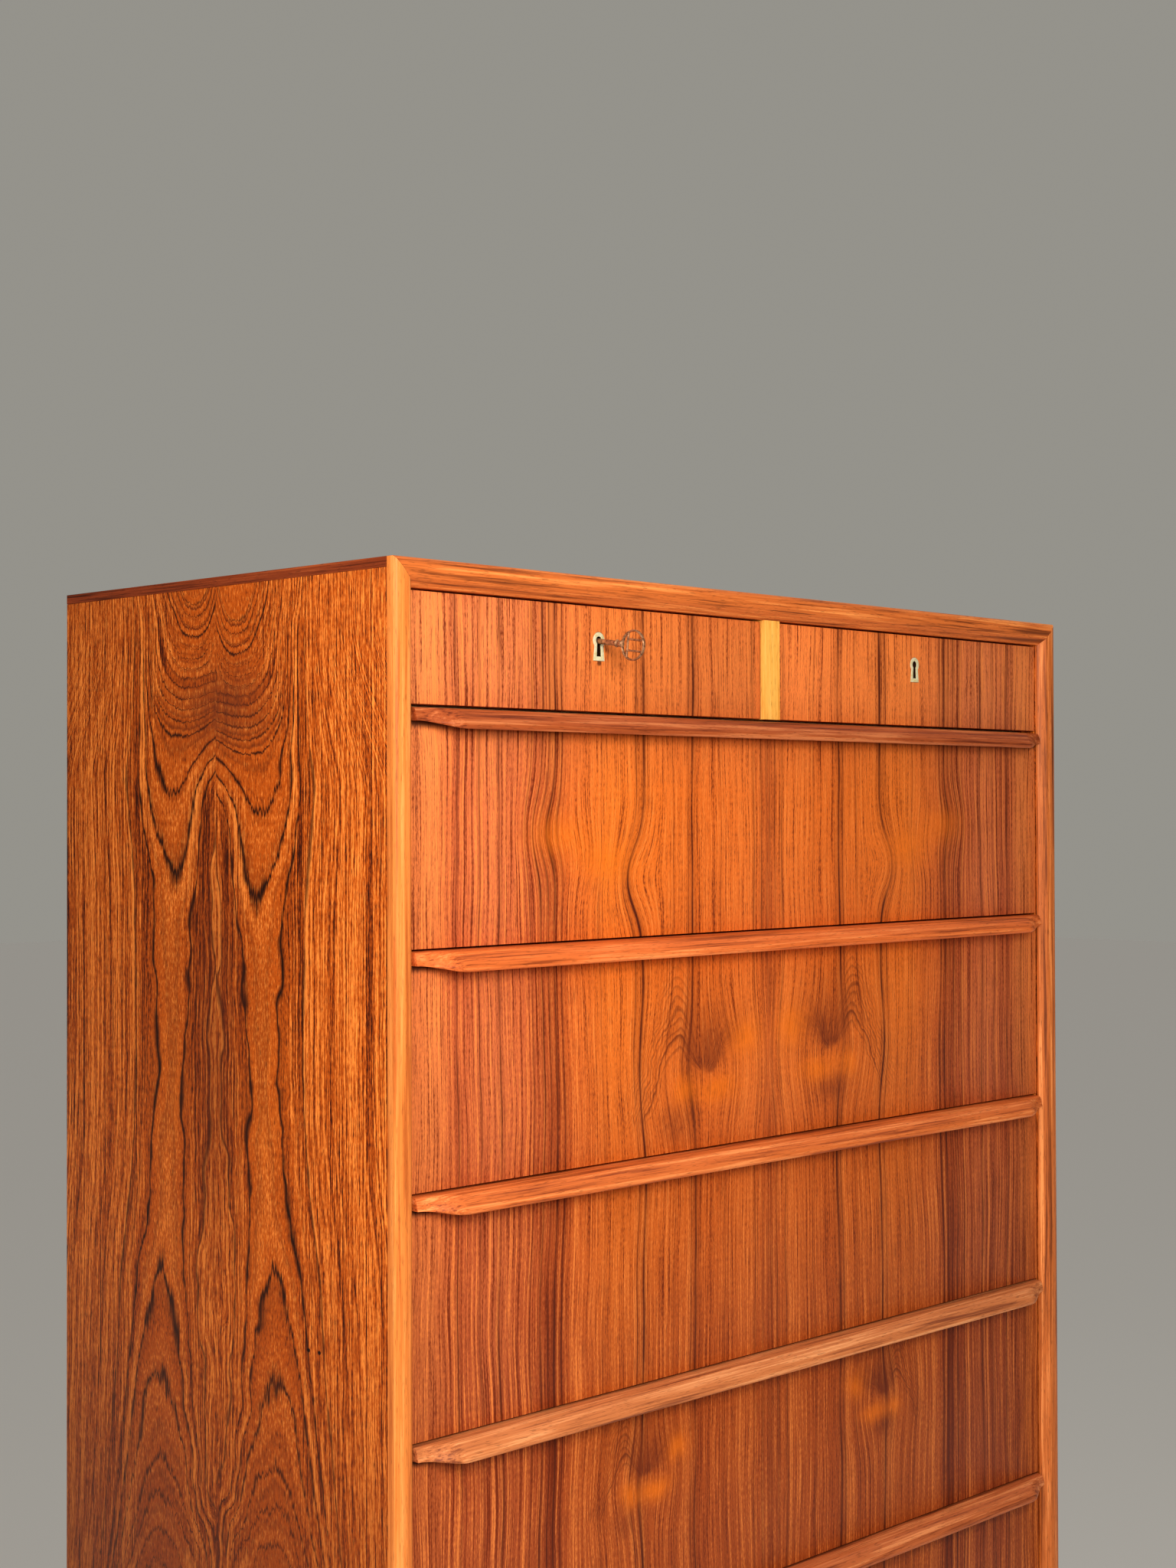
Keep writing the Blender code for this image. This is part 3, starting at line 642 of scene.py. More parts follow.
# %% A knot
def knot(side, height, right_leaf, level, out, size):
    """Grain that hooks over a knot, smoke that fans up from it, and warm wood beside it."""
    cloud = noise(join(side * 30, right_leaf * 0.7, height * 26), 3)
    across = (side - out + cloud * 0.020) * (1 / size)
    up = (height - level + cloud * 0.014) * (1 / size)
    reach = (across * across + up * up) ** 0.5
    turn = up.math("ARCTAN2", up, across)

    bent = (across - 0.033) * 2.3
    hood = up + (bent * bent + 0.0009) ** 0.5
    ripple = (hood * 120).math("FRACT", hood * 120)
    arches = rise(ripple, 0.40, 0.85) * rise(ripple, 0.85, 1.0, 1.0, 0.0) * 0.55
    arches = arches * rise(hood, 0.046, 0.056) * rise(hood, 0.100, 0.150, 1.0, 0.0)
    arches = arches + line(hood, 0.067, 0.0022) + line(hood, 0.088, 0.0020) * 0.5
    arches = arches * rise(across, 0.012, 0.026) * rise(up, -0.055, -0.015)

    hair = noise(join(turn * 14, right_leaf, reach * 26), 3, 0.65)
    sector = rise(turn, 0.35, 1.00) * rise(turn, 2.20, 2.85, 1.0, 0.0)
    smoke = sector * rise(reach, 0.000, 0.011) * rise(reach, 0.012, 0.096, 1.0, 0.0)
    low = spot(across, up, 0.002, -0.033, 0.022, 0.013) * right_leaf
    low = low + spot(across, up, 0.036, -0.040, 0.016, 0.016) * (1 - right_leaf)
    lean = spot(across, up, -0.026, 0.024, 0.026, 0.014)
    lean = lean + spot(across, up, 0.004, 0.008, 0.022, 0.008)
    smoke = (smoke * 0.90 + lean * 0.28 + low * 0.8) * rise(hair, -0.26, 0.16, 0.40, 1.0)

    warm = spot(across, up, -0.056, 0.028, 0.020, 0.017)
    warm = warm + spot(across, up, -0.018, -0.014, 0.028, 0.012)
    warm = warm + spot(across, up, 0.026, -0.014, 0.012, 0.014) * 0.8
    return arches, smoke, warm


# %% [markdown]
# A chest that has been in use for a long time has its marks. Grime and painted shade darken the
# corner under each lip, and painted shade darkens the inside of the keyholes. Below the left lock
# is a small dark spot, and the first large drawer has a dent near its right end, painted as a
# darker patch of shade.

# %% Painted shade and marks of use
# how far the grime and painted shade reach down from the top edge of a front, and how far the painted
# keyhole shade reaches out from a keyhole's middle
GRIME_AND_SHADE_REACH = 0.0075
KEYHOLE_REACH = 0.016
DENT = (0.284, 1.124)  # across, height


def marks_and_painted_shade(colour, x, y, z):
    """Grime and painted shade under the lips, painted shade inside the keyholes, a dark spot and the dent's
    painted shade over a colour.
    """
    for number in LARGE:
        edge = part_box(f"drawer_front_{number}")[1].z
        # grime and painted shade: the face just under each lip is darkened, where the lip shades it
        grime_and_lip_shade = rise(z, edge - GRIME_AND_SHADE_REACH, edge - 0.0010)
        grime_and_lip_shade = grime_and_lip_shade * rise(z, edge + 0.0010, edge + 0.0016, 1.0, 0.0)
        on_face = rise(y, FACE + 0.004, FACE + 0.002)
        colour = blend(grime_and_lip_shade * on_face * 0.92, colour, stain(36, 8, 2))
    # painted shade: the walls of the keyhole's way through are darkened nearly to black, standing for the
    # shade inside the hole
    lock_x = abs(x) - SMALL_CENTRE
    lock_z = z - KEY_LEVEL + 0.004
    way = (lock_x * lock_x + lock_z * lock_z) ** 0.5
    way = rise(way, KEYHOLE_REACH, 0.011) * rise(y, FACE + 0.0004, FACE + 0.0009)
    colour = blend(way * 0.97, colour, stain(20, 8, 4))
    # a small dark spot below the left lock
    dark_spot = spot(x, z, -SMALL_CENTRE + 0.0005, KEY_LEVEL - 0.0185, 0.0026, 0.0026)
    colour = blend(rise(dark_spot, 0.15, 0.75) * 0.85, colour, stain(70, 24, 8))
    # painted shade: the dent has no bump, so its shade is painted as a darker patch
    dent_shade = spot(x, z, *DENT, 0.0042, 0.0030)
    return blend(rise(dent_shade, 0.25, 0.60) * 0.55, colour, stain(84, 30, 12))


# %% Drawer veneer
def drawer_veneer():
    material, shader, x, y, z = recipe("straight teak with knots", 0.44)
    off_seam = x - SEAM_X
    right_leaf = rise(off_seam, -0.0004, 0.0004)
    side = abs(off_seam)
    height = z + right_leaf * -0.006
    flow = drawer_flow(side, height, right_leaf)

    leaf = flow.node("ValToRGB", {"stops": LEAF_COLOURS}, {0: flow * (1 / LEAF)})
    # painted shade: the fronts darken towards the bottom, as the lamp's light falls off there
    painted_low_shade = rise(height, 1.02, 0.42)
    leaf = blend(painted_low_shade * 0.80, leaf, stain(148, 62, 24))
    leaf = blend(rise(height, 1.05, 1.16) * 0.30, leaf, stain(246, 146, 84))

    outer = rise(side, 0.225, 0.270)
    bands = noise(join(flow * 75, right_leaf * 0.1, height * 0.8), 3)
    stripes = noise(join(flow * 330, right_leaf * 0.1, height * 1.2), 4, 0.80)
    dashes = noise(join(flow * 900, right_leaf, height * 13), 2)
    mottle = noise(join(flow * 900, right_leaf, height * 260), 2)
    tone = bands * 0.45 + stripes * (outer * 1.2 + 1.5) + dashes * 1.2 + mottle * 0.8
    colour = blend(rise(tone, 0.00, -0.40), leaf, stain(112, 38, 10))
    colour = blend(rise(tone, 0.00, 0.40) * 0.60, colour, stain(255, 146, 66))
    drift = noise(join(side * 30, right_leaf, height * 9), 2)
    for at, half, weight in GRAIN_LINES:
        core = line(flow, at, half * 0.75) + line(flow, at, half * 3.4) * 0.40
        colour = blend(core * rise(drift, -0.25, 0.20, 0.35, 1.0) * weight,
                       colour, stain(84, 28, 10))

    warm = spot(side, height, 0.262, 1.030, 0.036, 0.016)
    warm = (warm + spot(side, height, 0.212, 1.008, 0.036, 0.016)) * 0.7
    arches, smoke = warm * 0.0, warm * 0.0
    for level, out, size in KNOTS:
        more = knot(side, height, right_leaf, level, out, size)
        arches, smoke, warm = arches + more[0], smoke + more[1], warm + more[2]
    colour = blend(warm * 0.55, colour, stain(246, 120, 14))
    colour = blend(smoke * 0.80, colour, stain(104, 38, 16))
    colour = blend(arches * 0.75, colour, stain(92, 32, 12))

    colour = marks_and_painted_shade(colour, x, y, z)
    pores = rise(noise(join(flow * 1300, right_leaf, z * 45), 1), 0.08, 0.18)
    colour = blend(pores * 0.45, colour, stain(88, 30, 12))
    pour(shader, colour, rise(dashes, -0.3, 0.3, 0.38, 0.50), pores * -1.0 + dashes * 0.4, 0.25)
    return material


# %% [markdown]
# ## Solid teak, cut along the grain
#
# Lippings, lip pulls, the divider strip and the legs are solid. Each came from its own stick,
# so each has its own colour, from straw to reddish brown. The recipe is the same for all:
# wide soft bands, finer streaks and dark pores, all drawn out along the stick.


# %% Solid teak
def solid_teak(name, grain, light, middle, dark, start, roughness=0.40):
    """Teak with its grain along X, Y or Z; start is where on the stick it was cut."""
    material, shader, x, y, z = recipe(name, roughness)
    along, a, b = {"X": (x, y, z), "Y": (y, x, z), "Z": (z, x, y)}[grain]
    along = along + start
    wander = noise(join(a * 14, b * 14, along * 4), 2) * 0.012
    band = noise(join((a + wander) * 190, b * 190, along * 3.2), 3)
    streak = noise(join(a * 700, b * 700, along * 16), 3)
    tone = band * 1.5 + streak * 0.9
    colour = blend(rise(tone, -0.34, 0.0), dark, middle)
    colour = blend(rise(tone, 0.0, 0.36), colour, light)
    pores = rise(noise(join(a * 1500, b * 1500, along * 100), 1), 0.11, 0.20)
    colour = blend(pores * 0.45, colour, tuple(c * 0.35 for c in dark))
    pour(shader, colour, rise(streak, -0.3, 0.3, roughness - 0.05, roughness + 0.07),
         pores * -1.0 + streak * 0.4, 0.2)
    return material


# %% [markdown]
# ## Woods inside and metals
#
# Beech has short flecks, plywood shows rotary-cut birch with wide soft figure, and the back is
# a plain brown veneer. The metals share one recipe, a slow cloud between a bright and a dull
# colour that also makes some places rougher, and differ by their colours and their shine.


# %% Beech, plywood and metals
def beech():
    material, shader, x, y, z = recipe("beech", 0.55)
    band = noise(join(x * 60, y * 3, z * 60), 3)
    fleck = rise(noise(join(x * 500, y * 90, z * 500), 2), 0.14, 0.24)
    colour = blend(rise(band, -0.3, 0.3), stain(196, 158, 112), stain(222, 190, 146))
    colour = blend(fleck * 0.5, colour, stain(164, 118, 76))
    pour(shader, colour, rise(band, -0.3, 0.3, 0.50, 0.62), fleck * -1.0, 0.15)
    return material


def plywood(name, light, dark):
    material, shader, x, y, z = recipe(name, 0.6)
    wide = noise(join(x * 9, y * 2.2, z * 2.2), 3)
    grain = noise(join(x * 260, y * 9, z * 9), 3)
    tone = wide * 0.8 + grain * 0.8
    colour = blend(rise(tone, -0.35, 0.35), dark, light)
    pores = rise(noise(join(x * 1300, y * 60, z * 60), 1), 0.12, 0.22)
    colour = blend(pores * 0.35, colour, tuple(c * 0.4 for c in dark))
    pour(shader, colour, rise(grain, -0.3, 0.3, 0.55, 0.68), grain, 0.15)
    return material


def metal(name, bright, dull, roughness, scale, metallic=1.0):
    material, shader, x, y, z = recipe(name, roughness, metallic)
    cloud = noise(join(x * scale, y * scale, z * scale), 3)
    fine = noise(join(x * scale * 9, y * scale * 9, z * scale * 9), 2)
    colour = blend(rise(cloud + fine * 0.5, -0.3, 0.2), dull, bright)
    worn = rise(cloud, -0.3, 0.3, roughness + 0.12, roughness - 0.08)
    pour(shader, colour, worn, fine, 0.1, 0.0001)
    return material


# %% [markdown]
# ## The finishes of this chest
#
# Every piece takes one of these. The left stile and the divider are paler than the rest, the
# strips in the corners are darker, and each lip came from another stick. The inlays are a
# pale brass gone dull, and the key is bronze with brighter and darker places.

# %% All finishes
finishes = {
    "side": side_veneer(),
    "drawer": drawer_veneer(),
    "rail": solid_teak("teak rail", "X", stain(250, 150, 76), stain(212, 108, 46),
                       stain(124, 58, 24), 0.0),
    "stile left": solid_teak("pale teak stile", "Z", stain(250, 156, 80), stain(232, 130, 56),
                             stain(196, 98, 38), 3.1),
    "stile right": solid_teak("teak stile", "Z", stain(255, 156, 86), stain(206, 108, 48),
                              stain(130, 62, 28), 7.7),
    "strip": solid_teak("dark corner teak", "Y", stain(176, 84, 40), stain(132, 54, 24),
                        stain(70, 26, 12), 2.4),
    "divider": solid_teak("straw teak", "Z", stain(255, 196, 98), stain(250, 172, 72),
                          stain(222, 130, 34), 5.9),
    "leg": solid_teak("leg teak", "Z", stain(230, 128, 60), stain(196, 98, 40),
                      stain(130, 58, 24), 4.4),
    "beech": beech(),
    "plywood": plywood("birch plywood", stain(214, 176, 128), stain(178, 134, 90)),
    "back": plywood("brown back veneer", stain(170, 110, 66), stain(118, 70, 40)),
    "steel": metal("oiled steel", (0.42, 0.41, 0.39), (0.22, 0.21, 0.20), 0.38, 120),
    # the lock cases are steel made nearly black: painted shade, seen through the keyholes
    "keyhole shade steel": metal("steel darkened as keyhole shade", (0.020, 0.018, 0.016), (0.008, 0.007, 0.006),
                         0.5, 120),
    "brass": metal("pale brass", stain(250, 240, 200), stain(226, 206, 140), 0.45, 300, 0.35),
    "bronze": metal("worn bronze", stain(186, 132, 92), stain(74, 40, 24), 0.38, 420, 0.55),
}
# each lip from the top down: light, middle and dark
LIP_STAINS = (
    (stain(206, 116, 66), stain(168, 78, 36), stain(110, 44, 20)),
    (stain(250, 144, 78), stain(222, 108, 48), stain(150, 66, 28)),
    (stain(250, 150, 84), stain(214, 108, 50), stain(146, 64, 30)),
    (stain(240, 158, 100), stain(204, 118, 66), stain(140, 72, 42)),
    (stain(230, 140, 84), stain(190, 98, 52), stain(128, 58, 30)),
)
for number, stains in zip(LARGE, LIP_STAINS):
    finishes[f"lip {number}"] = solid_teak(f"lip teak {number}", "X", *stains,
                                           start=number * 1.7, roughness=0.36)
print(len(finishes), "finishes")

# %% [markdown]
# ## A section drawn out into a piece
#
# Lippings, lip pulls, legs and the key's stem have one section that runs along a line and
# changes on the way. By hand that is a ring of points, extruded, moved, extruded again. The helper starts
# from a filled circle with as many points as the section has, sets the points on the first
# section, and extrudes from section to section.


# %% Drawing out a section
def draw_out(name, rings):
    """A solid through rings of points; every ring has as many points as the first."""
    clear_selection()
    bpy.ops.mesh.primitive_circle_add(vertices=len(rings[0]), radius=0.01, fill_type="NGON")
    piece = bpy.context.object
    piece.name = name
    write_place()
    for vertex, point in zip(piece.data.vertices, rings[0]):
        vertex.co = point
    bpy.ops.object.mode_set(mode="EDIT")
    bpy.ops.mesh.select_all(action="SELECT")
    for before, after in zip(rings, rings[1:]):
        bpy.ops.mesh.extrude_region_move()
        sheet = bmesh.from_edit_mesh(piece.data)
        for vertex in [v for v in sheet.verts if v.select]:
            gaps = [(Vector(point) - vertex.co).length_squared for point in before]
            vertex.co = after[gaps.index(min(gaps))]
        bmesh.update_edit_mesh(piece.data)
    bpy.ops.mesh.select_all(action="SELECT")
    bpy.ops.mesh.normals_make_consistent(inside=False)
    bpy.ops.object.mode_set(mode="OBJECT")
    return piece


def curve(start, pull, end, count):
    """Points on a curve from start to end, bent towards pull, without its last point."""
    points = []
    for i in range(count):
        t = i / count
        points.append(tuple((1 - t) ** 2 * a + 2 * t * (1 - t) * b + t * t * c
                            for a, b, c in zip(start, pull, end)))
    return points


def ease(t):
    """Soft start and soft end between 0 and 1."""
    return t * t * (3 - 2 * t)


# %% [markdown]
# ## The lippings: the frame around the drawers
#
# A strip of solid teak covers the front edge of each board and turns the four of them into a
# picture frame. Its face is gently rounded and has a narrow sloping band along its inner edge,
# which throws a line of light round the opening. At the corners the strips are mitred, so
# each end section is the straight section pulled out to forty-five degrees.

# %% A lipping's section
BAND = 0.0152  # where the sloping inner band starts, from the outer edge
BAND_SLOPE = 0.52
CREST = 0.0085  # where the face stands out most, from the outer edge
CROWN_FALL = 0.0011  # how much the face falls away within CROWN_REACH of the crest
CROWN_REACH = 0.0070
OUTER_ROUND = 0.0022  # the rounding of the outer edge
OUTER_FALL = 0.0015
MITRE = GAP / 2


def crown(across):
    """How far the face of a lipping lies behind its crest."""
    fall = CROWN_FALL * ((across - CREST) / CROWN_REACH) ** 2
    if across > BAND:
        fall += (across - BAND) * BAND_SLOPE
    if across < OUTER_ROUND:
        fall += OUTER_FALL * (1 - across / OUTER_ROUND) ** 2
    return fall


def lipping(name, run):
    """A strip. run turns (across, depth, which end) into a point."""
    stops = [0, 0.0005, 0.0012, 0.0022, 0.0045, 0.0065, 0.0085, 0.0105, 0.0128]
    stops += [0.0148, 0.0152, 0.0156, 0.0180, 0.0205, BOARD]
    section = [(a, crown(a)) for a in stops] + [(BOARD, LIPPING_DEPTH), (0, LIPPING_DEPTH)]
    return draw_out(name, [[run(a, d, end) for a, d in section] for end in (-1, 1)])


# %% Four lippings
middle_height = (TOP + FOOT) / 2
tall = (TOP - FOOT) / 2 - MITRE
wide = HALF - MITRE


def upright_height(across, end):
    """The mitred end of an upright strip: shorter the further in."""
    return middle_height + end * (tall - across)


strips = {
    "lipping_left": ("stile left",
                     lambda a, d, end: (a - HALF, FRONT + d, upright_height(a, end))),
    "lipping_right": ("stile right",
                      lambda a, d, end: (HALF - a, FRONT + d, upright_height(a, end))),
    "lipping_top": ("rail", lambda a, d, end: (end * (wide - a), FRONT + d, TOP - a)),
    "lipping_bottom": ("rail", lambda a, d, end: (end * (wide - a), FRONT + d, FOOT + a)),
}
for node, (finish, run) in strips.items():
    piece = lipping(node.replace("lipping", "teak_lipping"), run)
    paint(piece, finishes[finish])
    hand_over(piece, node, angle=20)
print("lippings", BOARD, "wide, inner band", round(BOARD - BAND, 4))

# %% [markdown]
# ## The carcase boards
#
# The sides meet the top and bottom in mitres, and a thin solid strip is let into each top
# mitre, where a veneered corner would chip. The saw cuts the block at forty-five degrees at
# both ends, then a notch takes the strip and a rebate the back panel.

# %% Side boards
PAST = 0.01  # how far a cutter reaches past the piece it cuts
SANDED = 0.0003
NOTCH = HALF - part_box("corner_strip_right")[0].x + MITRE
BOARD_FRONT = FRONT + LIPPING_DEPTH + GAP
back_low, back_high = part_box("back_panel")
REBATE = ((back_low.x - GAP, back_low.y - GAP, back_low.z - GAP),
          (back_high.x + GAP, REAR + PAST, back_high.z + GAP))


def notch(sign):
    """A cutter for the corner that the dark strip fills."""
    x = sorted((sign * (HALF - NOTCH), sign * (HALF + PAST)))
    return block("notch", (x[0], BOARD_FRONT - PAST, TOP - NOTCH), (x[1], REAR + PAST, TOP + PAST))


def side_board(side, sign):
    x = sorted((sign * HALF, sign * INSIDE))
    board = block(f"teak_side_{side}", (x[0], BOARD_FRONT, FOOT), (x[1], REAR, TOP))
    saw(board, (sign * HALF, 0, TOP - MITRE), (-sign, 0, 1))
    saw(board, (sign * HALF, 0, FOOT + MITRE), (-sign, 0, -1))
    cut(board, notch(sign), block("rebate", *REBATE), block("housing", *grown(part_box("shelf"), GAP)))
    return soften(board, SANDED)


for side, sign in SIDES:
    board = side_board(side, sign)
    paint(board, finishes["side"])
    hand_over(board, f"side_board_{side}")

# %% Top board
BOLT_PLAY = 0.002
BOLT_DEPTH = 0.009

top_board = block("teak_top", (-HALF, BOARD_FRONT, TOP - BOARD), (HALF, REAR, TOP))
for sign in (-1, 1):
    saw(top_board, (sign * (HALF - MITRE), 0, TOP), (sign, 0, -1))
    cut(top_board, notch(sign))
cut(top_board, block("rebate", *REBATE))
for side, _ in SIDES:
    low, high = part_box(f"lock_bolt_{side}")
    cut(top_board, block("mortise", (low.x - BOLT_PLAY, low.y - BOLT_PLAY, TOP - BOARD - 0.001),
                         (high.x + BOLT_PLAY, high.y + BOLT_PLAY, TOP - BOARD + BOLT_DEPTH)))
soften(top_board, SANDED)
paint(top_board, finishes["rail"])
hand_over(top_board, "top_board")
print("top board", len(top_board.data.polygons), "faces")

# %% [markdown]
# The strips in the corners are planed round along their outer edge. Only that one long edge
# is selected, by its place, and then bevelled with five segments.

# %% Corner strips
STRIP_ROUND = 0.003

for side, _ in SIDES:
    strip = block(f"dark_strip_{side}", *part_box(f"corner_strip_{side}"))
    only(strip)
    bpy.ops.object.mode_set(mode="EDIT")
    sheet = bmesh.from_edit_mesh(strip.data)
    for edge in sheet.edges:
        middle = (edge.verts[0].co + edge.verts[1].co) / 2
        edge.select_set(abs(middle.x) > HALF - 0.001 and middle.z > TOP - 0.001)
    bpy.ops.mesh.bevel(offset=STRIP_ROUND, segments=5)
    bpy.ops.object.mode_set(mode="OBJECT")
    paint(strip, finishes["strip"])
    hand_over(strip, f"corner_strip_{side}")
print("corner strips", len(strip.data.polygons), "faces each")

# %% [markdown]
# ## Large drawer fronts
#
# Each front is a plain veneered board with its edges broken by sandpaper and a groove inside
# for the drawer bottom. The lip pull sits on its top edge.

# %% Drawer fronts
FRONT_SANDED = 0.0006

for number in LARGE:
    front = block(f"teak_front_{number}", *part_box(f"drawer_front_{number}"))
    soften(front, FRONT_SANDED)
    cut(front, block("groove", *grown(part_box(f"drawer_bottom_{number}"), GAP)))
    paint(front, finishes["drawer"])
    hand_over(front, f"drawer_front_{number}")
print("large fronts", len(LARGE))

# %% [markdown]
# ## Lip pulls
#
# The lip is the handle: a solid strip along the whole top edge, with a nearly flat top, a face
# that slopes forward to a rounded nose, and a hollow underneath for the fingertips. Towards
# each end it is carved back, so it starts thin at the case side and swells to its full reach
# within a hand's width. The section is drawn once from a few curves, and each ring along the
# strip is that section, drawn in and with its nose lifted.

# %% The lip's section
LIP_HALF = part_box("lip_pull_1")[1].x
LIP_ROOT = 0.0105  # how tall the lip is where it meets the front
LIP_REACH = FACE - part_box("lip_pull_1")[0].y
FRONT_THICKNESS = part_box("drawer_front_1")[1].y - FACE
LIP_SWEEP = 0.042  # how long the carved stretch at each end is
LIP_STEPS = 14
LIP_END = 8 / 22  # share of the reach that is left at the ends


def lip_section():
    """(out from the drawer face, down from the top), all the way round."""
    back = -FRONT_THICKNESS
    section = [(back, LIP_ROOT), (back, 0.0005), (back + 0.0005, 0.0)]
    section += [(0.0, 0.0), (0.006, 0.0003)]
    section += curve((0.0118, 0.0007), (0.0136, 0.0010), (0.0150, 0.0024), 4)
    section += curve((0.0150, 0.0024), (0.0196, 0.0066), (0.0218, 0.0124), 7)
    section += curve((0.0218, 0.0124), (LIP_REACH + 0.0001, 0.0160), (0.0203, 0.0163), 5)
    section += curve((0.0203, 0.0163), (0.0160, 0.0156), (0.0128, 0.0125), 5)
    section += [(0.0128, 0.0125), (0.0104, 0.0110), (0.0075, 0.0105), (0.0, 0.0105)]
    return section


# %% Lip pulls
def lip_ring(x, away, top):
    """The section at a distance from the lip's end: drawn in, and its nose lifted."""
    share = ease(min(1.0, away / LIP_SWEEP))
    reach = LIP_END + (1 - LIP_END) * share
    ring = []
    for out, down in lip_section():
        nose = max(0.0, down - LIP_ROOT)
        ring.append((x, FACE - (out * reach if out > 0 else out), top - down + nose * (1 - share)))
    return ring


def lip_pull(number):
    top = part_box(f"lip_pull_{number}")[1].z
    away = [LIP_SWEEP * i / LIP_STEPS for i in range(LIP_STEPS + 1)]
    rings = [lip_ring(-LIP_HALF + a, a, top) for a in away]
    rings += [lip_ring(LIP_HALF - a, a, top) for a in reversed(away)]
    return draw_out(f"teak_lip_{number}", rings)


for number in LARGE:
    lip = soften(lip_pull(number), 0.0004, 2, 40)
    paint(lip, finishes[f"lip {number}"])
    hand_over(lip, f"lip_pull_{number}", angle=32)
print("lip", round(LIP_REACH, 4), "proud,", len(lip.data.polygons), "faces each")

# %% [markdown]
# ## Divider strip
#
# The strip between the small drawers has two rounded front edges. They are found by their
# place, as the upright edges at the very front, and bevelled.

# %% Divider strip
DIVIDER_ROUND = 0.0022

divider = block("straw_divider", *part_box("divider_strip"))
only(divider)
bpy.ops.object.mode_set(mode="EDIT")
sheet = bmesh.from_edit_mesh(divider.data)
strip_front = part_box("divider_strip")[0].y
for edge in sheet.edges:
    a, b = (vertex.co for vertex in edge.verts)
    edge.select_set(abs(a.z - b.z) > 0.01 and max(a.y, b.y) < strip_front + 0.001)
bpy.ops.mesh.bevel(offset=DIVIDER_ROUND, segments=5)
bpy.ops.object.mode_set(mode="OBJECT")
paint(divider, finishes["divider"])
hand_over(divider, "divider_strip")
print("divider", len(divider.data.polygons), "faces")

# %% [markdown]
# ## Legs
#
# The legs are turned on a lathe. Here a disc as wide as the foot is extruded upwards and
# widened step by step, fast at first and slowly near the top, which gives the slight swell.
# The foot's edge is rounded, and a tenon on top goes into the bottom board.

# %% Legs
LEG_TOP_RADIUS = 0.021
LEG_FOOT_RADIUS = 0.0125
FOOT_ROUND = 0.0016  # how high the rounding of the foot goes
TENON_RADIUS = 0.010
LEG_POINTS = 48
TURNS = 14


def circle(x, y, z, radius, points):
    """Points round an upright axis."""
    turn = [math.tau * k / points for k in range(points)]
    return [(x + radius * math.cos(a), y + radius * math.sin(a), z) for a in turn]


def turned_leg(name, x, y, top):
    profile = [(LEG_FOOT_RADIUS - 0.0015, 0.0), (LEG_FOOT_RADIUS - 0.0004, 0.0005)]
    profile.append((LEG_FOOT_RADIUS, FOOT_ROUND))
    for i in range(1, TURNS + 1):
        t = i / TURNS
        swell = (LEG_TOP_RADIUS - LEG_FOOT_RADIUS) * math.sin(t * math.pi / 2)
        profile.append((LEG_FOOT_RADIUS + swell, FOOT_ROUND + t * (FOOT - GAP - FOOT_ROUND)))
    profile += [(TENON_RADIUS, FOOT - GAP), (TENON_RADIUS, top - 0.001), (TENON_RADIUS - 0.001, top)]
    return draw_out(name, [circle(x, y, z, radius, LEG_POINTS) for radius, z in profile])


for place in ("front_left", "front_right", "back_left", "back_right"):
    low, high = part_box(f"leg_{place}")
    leg = turned_leg(f"turned_leg_{place}", (low.x + high.x) / 2, (low.y + high.y) / 2, high.z)
    paint(leg, finishes["leg"])
    hand_over(leg, f"leg_{place}", angle=35)
print("legs", round(FOOT, 3), "long")

# %% [markdown]
# ## Small drawer fronts and their locks
#
# A keyhole has a round head for the key's stem and a slot that widens downwards for its bit.
# The front is cut three times: through for the key, in the face for the brass inlay, and at
# the back for the lock's case. The inlay is a thin sheet with its own hole. The same
# head-and-slot shape, at four sizes, serves for the way through, the seat, the sheet and
# its hole.

# %% Keyhole shapes
# radius of the head, half the waist, half the foot, and how far the foot is below the head
SEAT = (INLAY_RADIUS + GAP, 0.0049, 0.0069, INLAY_FOOT + GAP)
WAY = (0.0048, 0.0026, 0.0032, 0.0144)
SHEET = (INLAY_RADIUS, 0.0046, 0.0066, INLAY_FOOT)
HOLE = (0.0034, 0.0020, 0.0027, 0.0132)


def keyhole(name, x, size, y):
    """A round head over a slot that widens to its foot, from y[0] back to y[1]."""
    head, waist, foot, drop = size
    clear_selection()
    bpy.ops.mesh.primitive_cylinder_add(vertices=48, radius=head, depth=y[1] - y[0],
                                        location=(x, (y[0] + y[1]) / 2, KEY_LEVEL),
                                        rotation=(math.pi / 2, 0, 0))
    round_head = bpy.context.object
    round_head.name = name
    write_place()
    slot = block("slot", (x - waist, y[0], KEY_LEVEL - drop), (x + waist, y[1], KEY_LEVEL))
    only(slot)
    bpy.ops.object.mode_set(mode="EDIT")
    sheet = bmesh.from_edit_mesh(slot.data)
    for face in sheet.faces:
        face.select_set(face.normal.z < -0.9)
    bmesh.update_edit_mesh(slot.data)
    bpy.ops.transform.resize(value=(foot / waist, 1, 1), center_override=(x, 0, 0))
    bpy.ops.object.mode_set(mode="OBJECT")
    return weld(round_head, slot)


# %% Small fronts and inlays
INLAY_THICKNESS = 0.0009
INLAY_SANDED = 0.00018

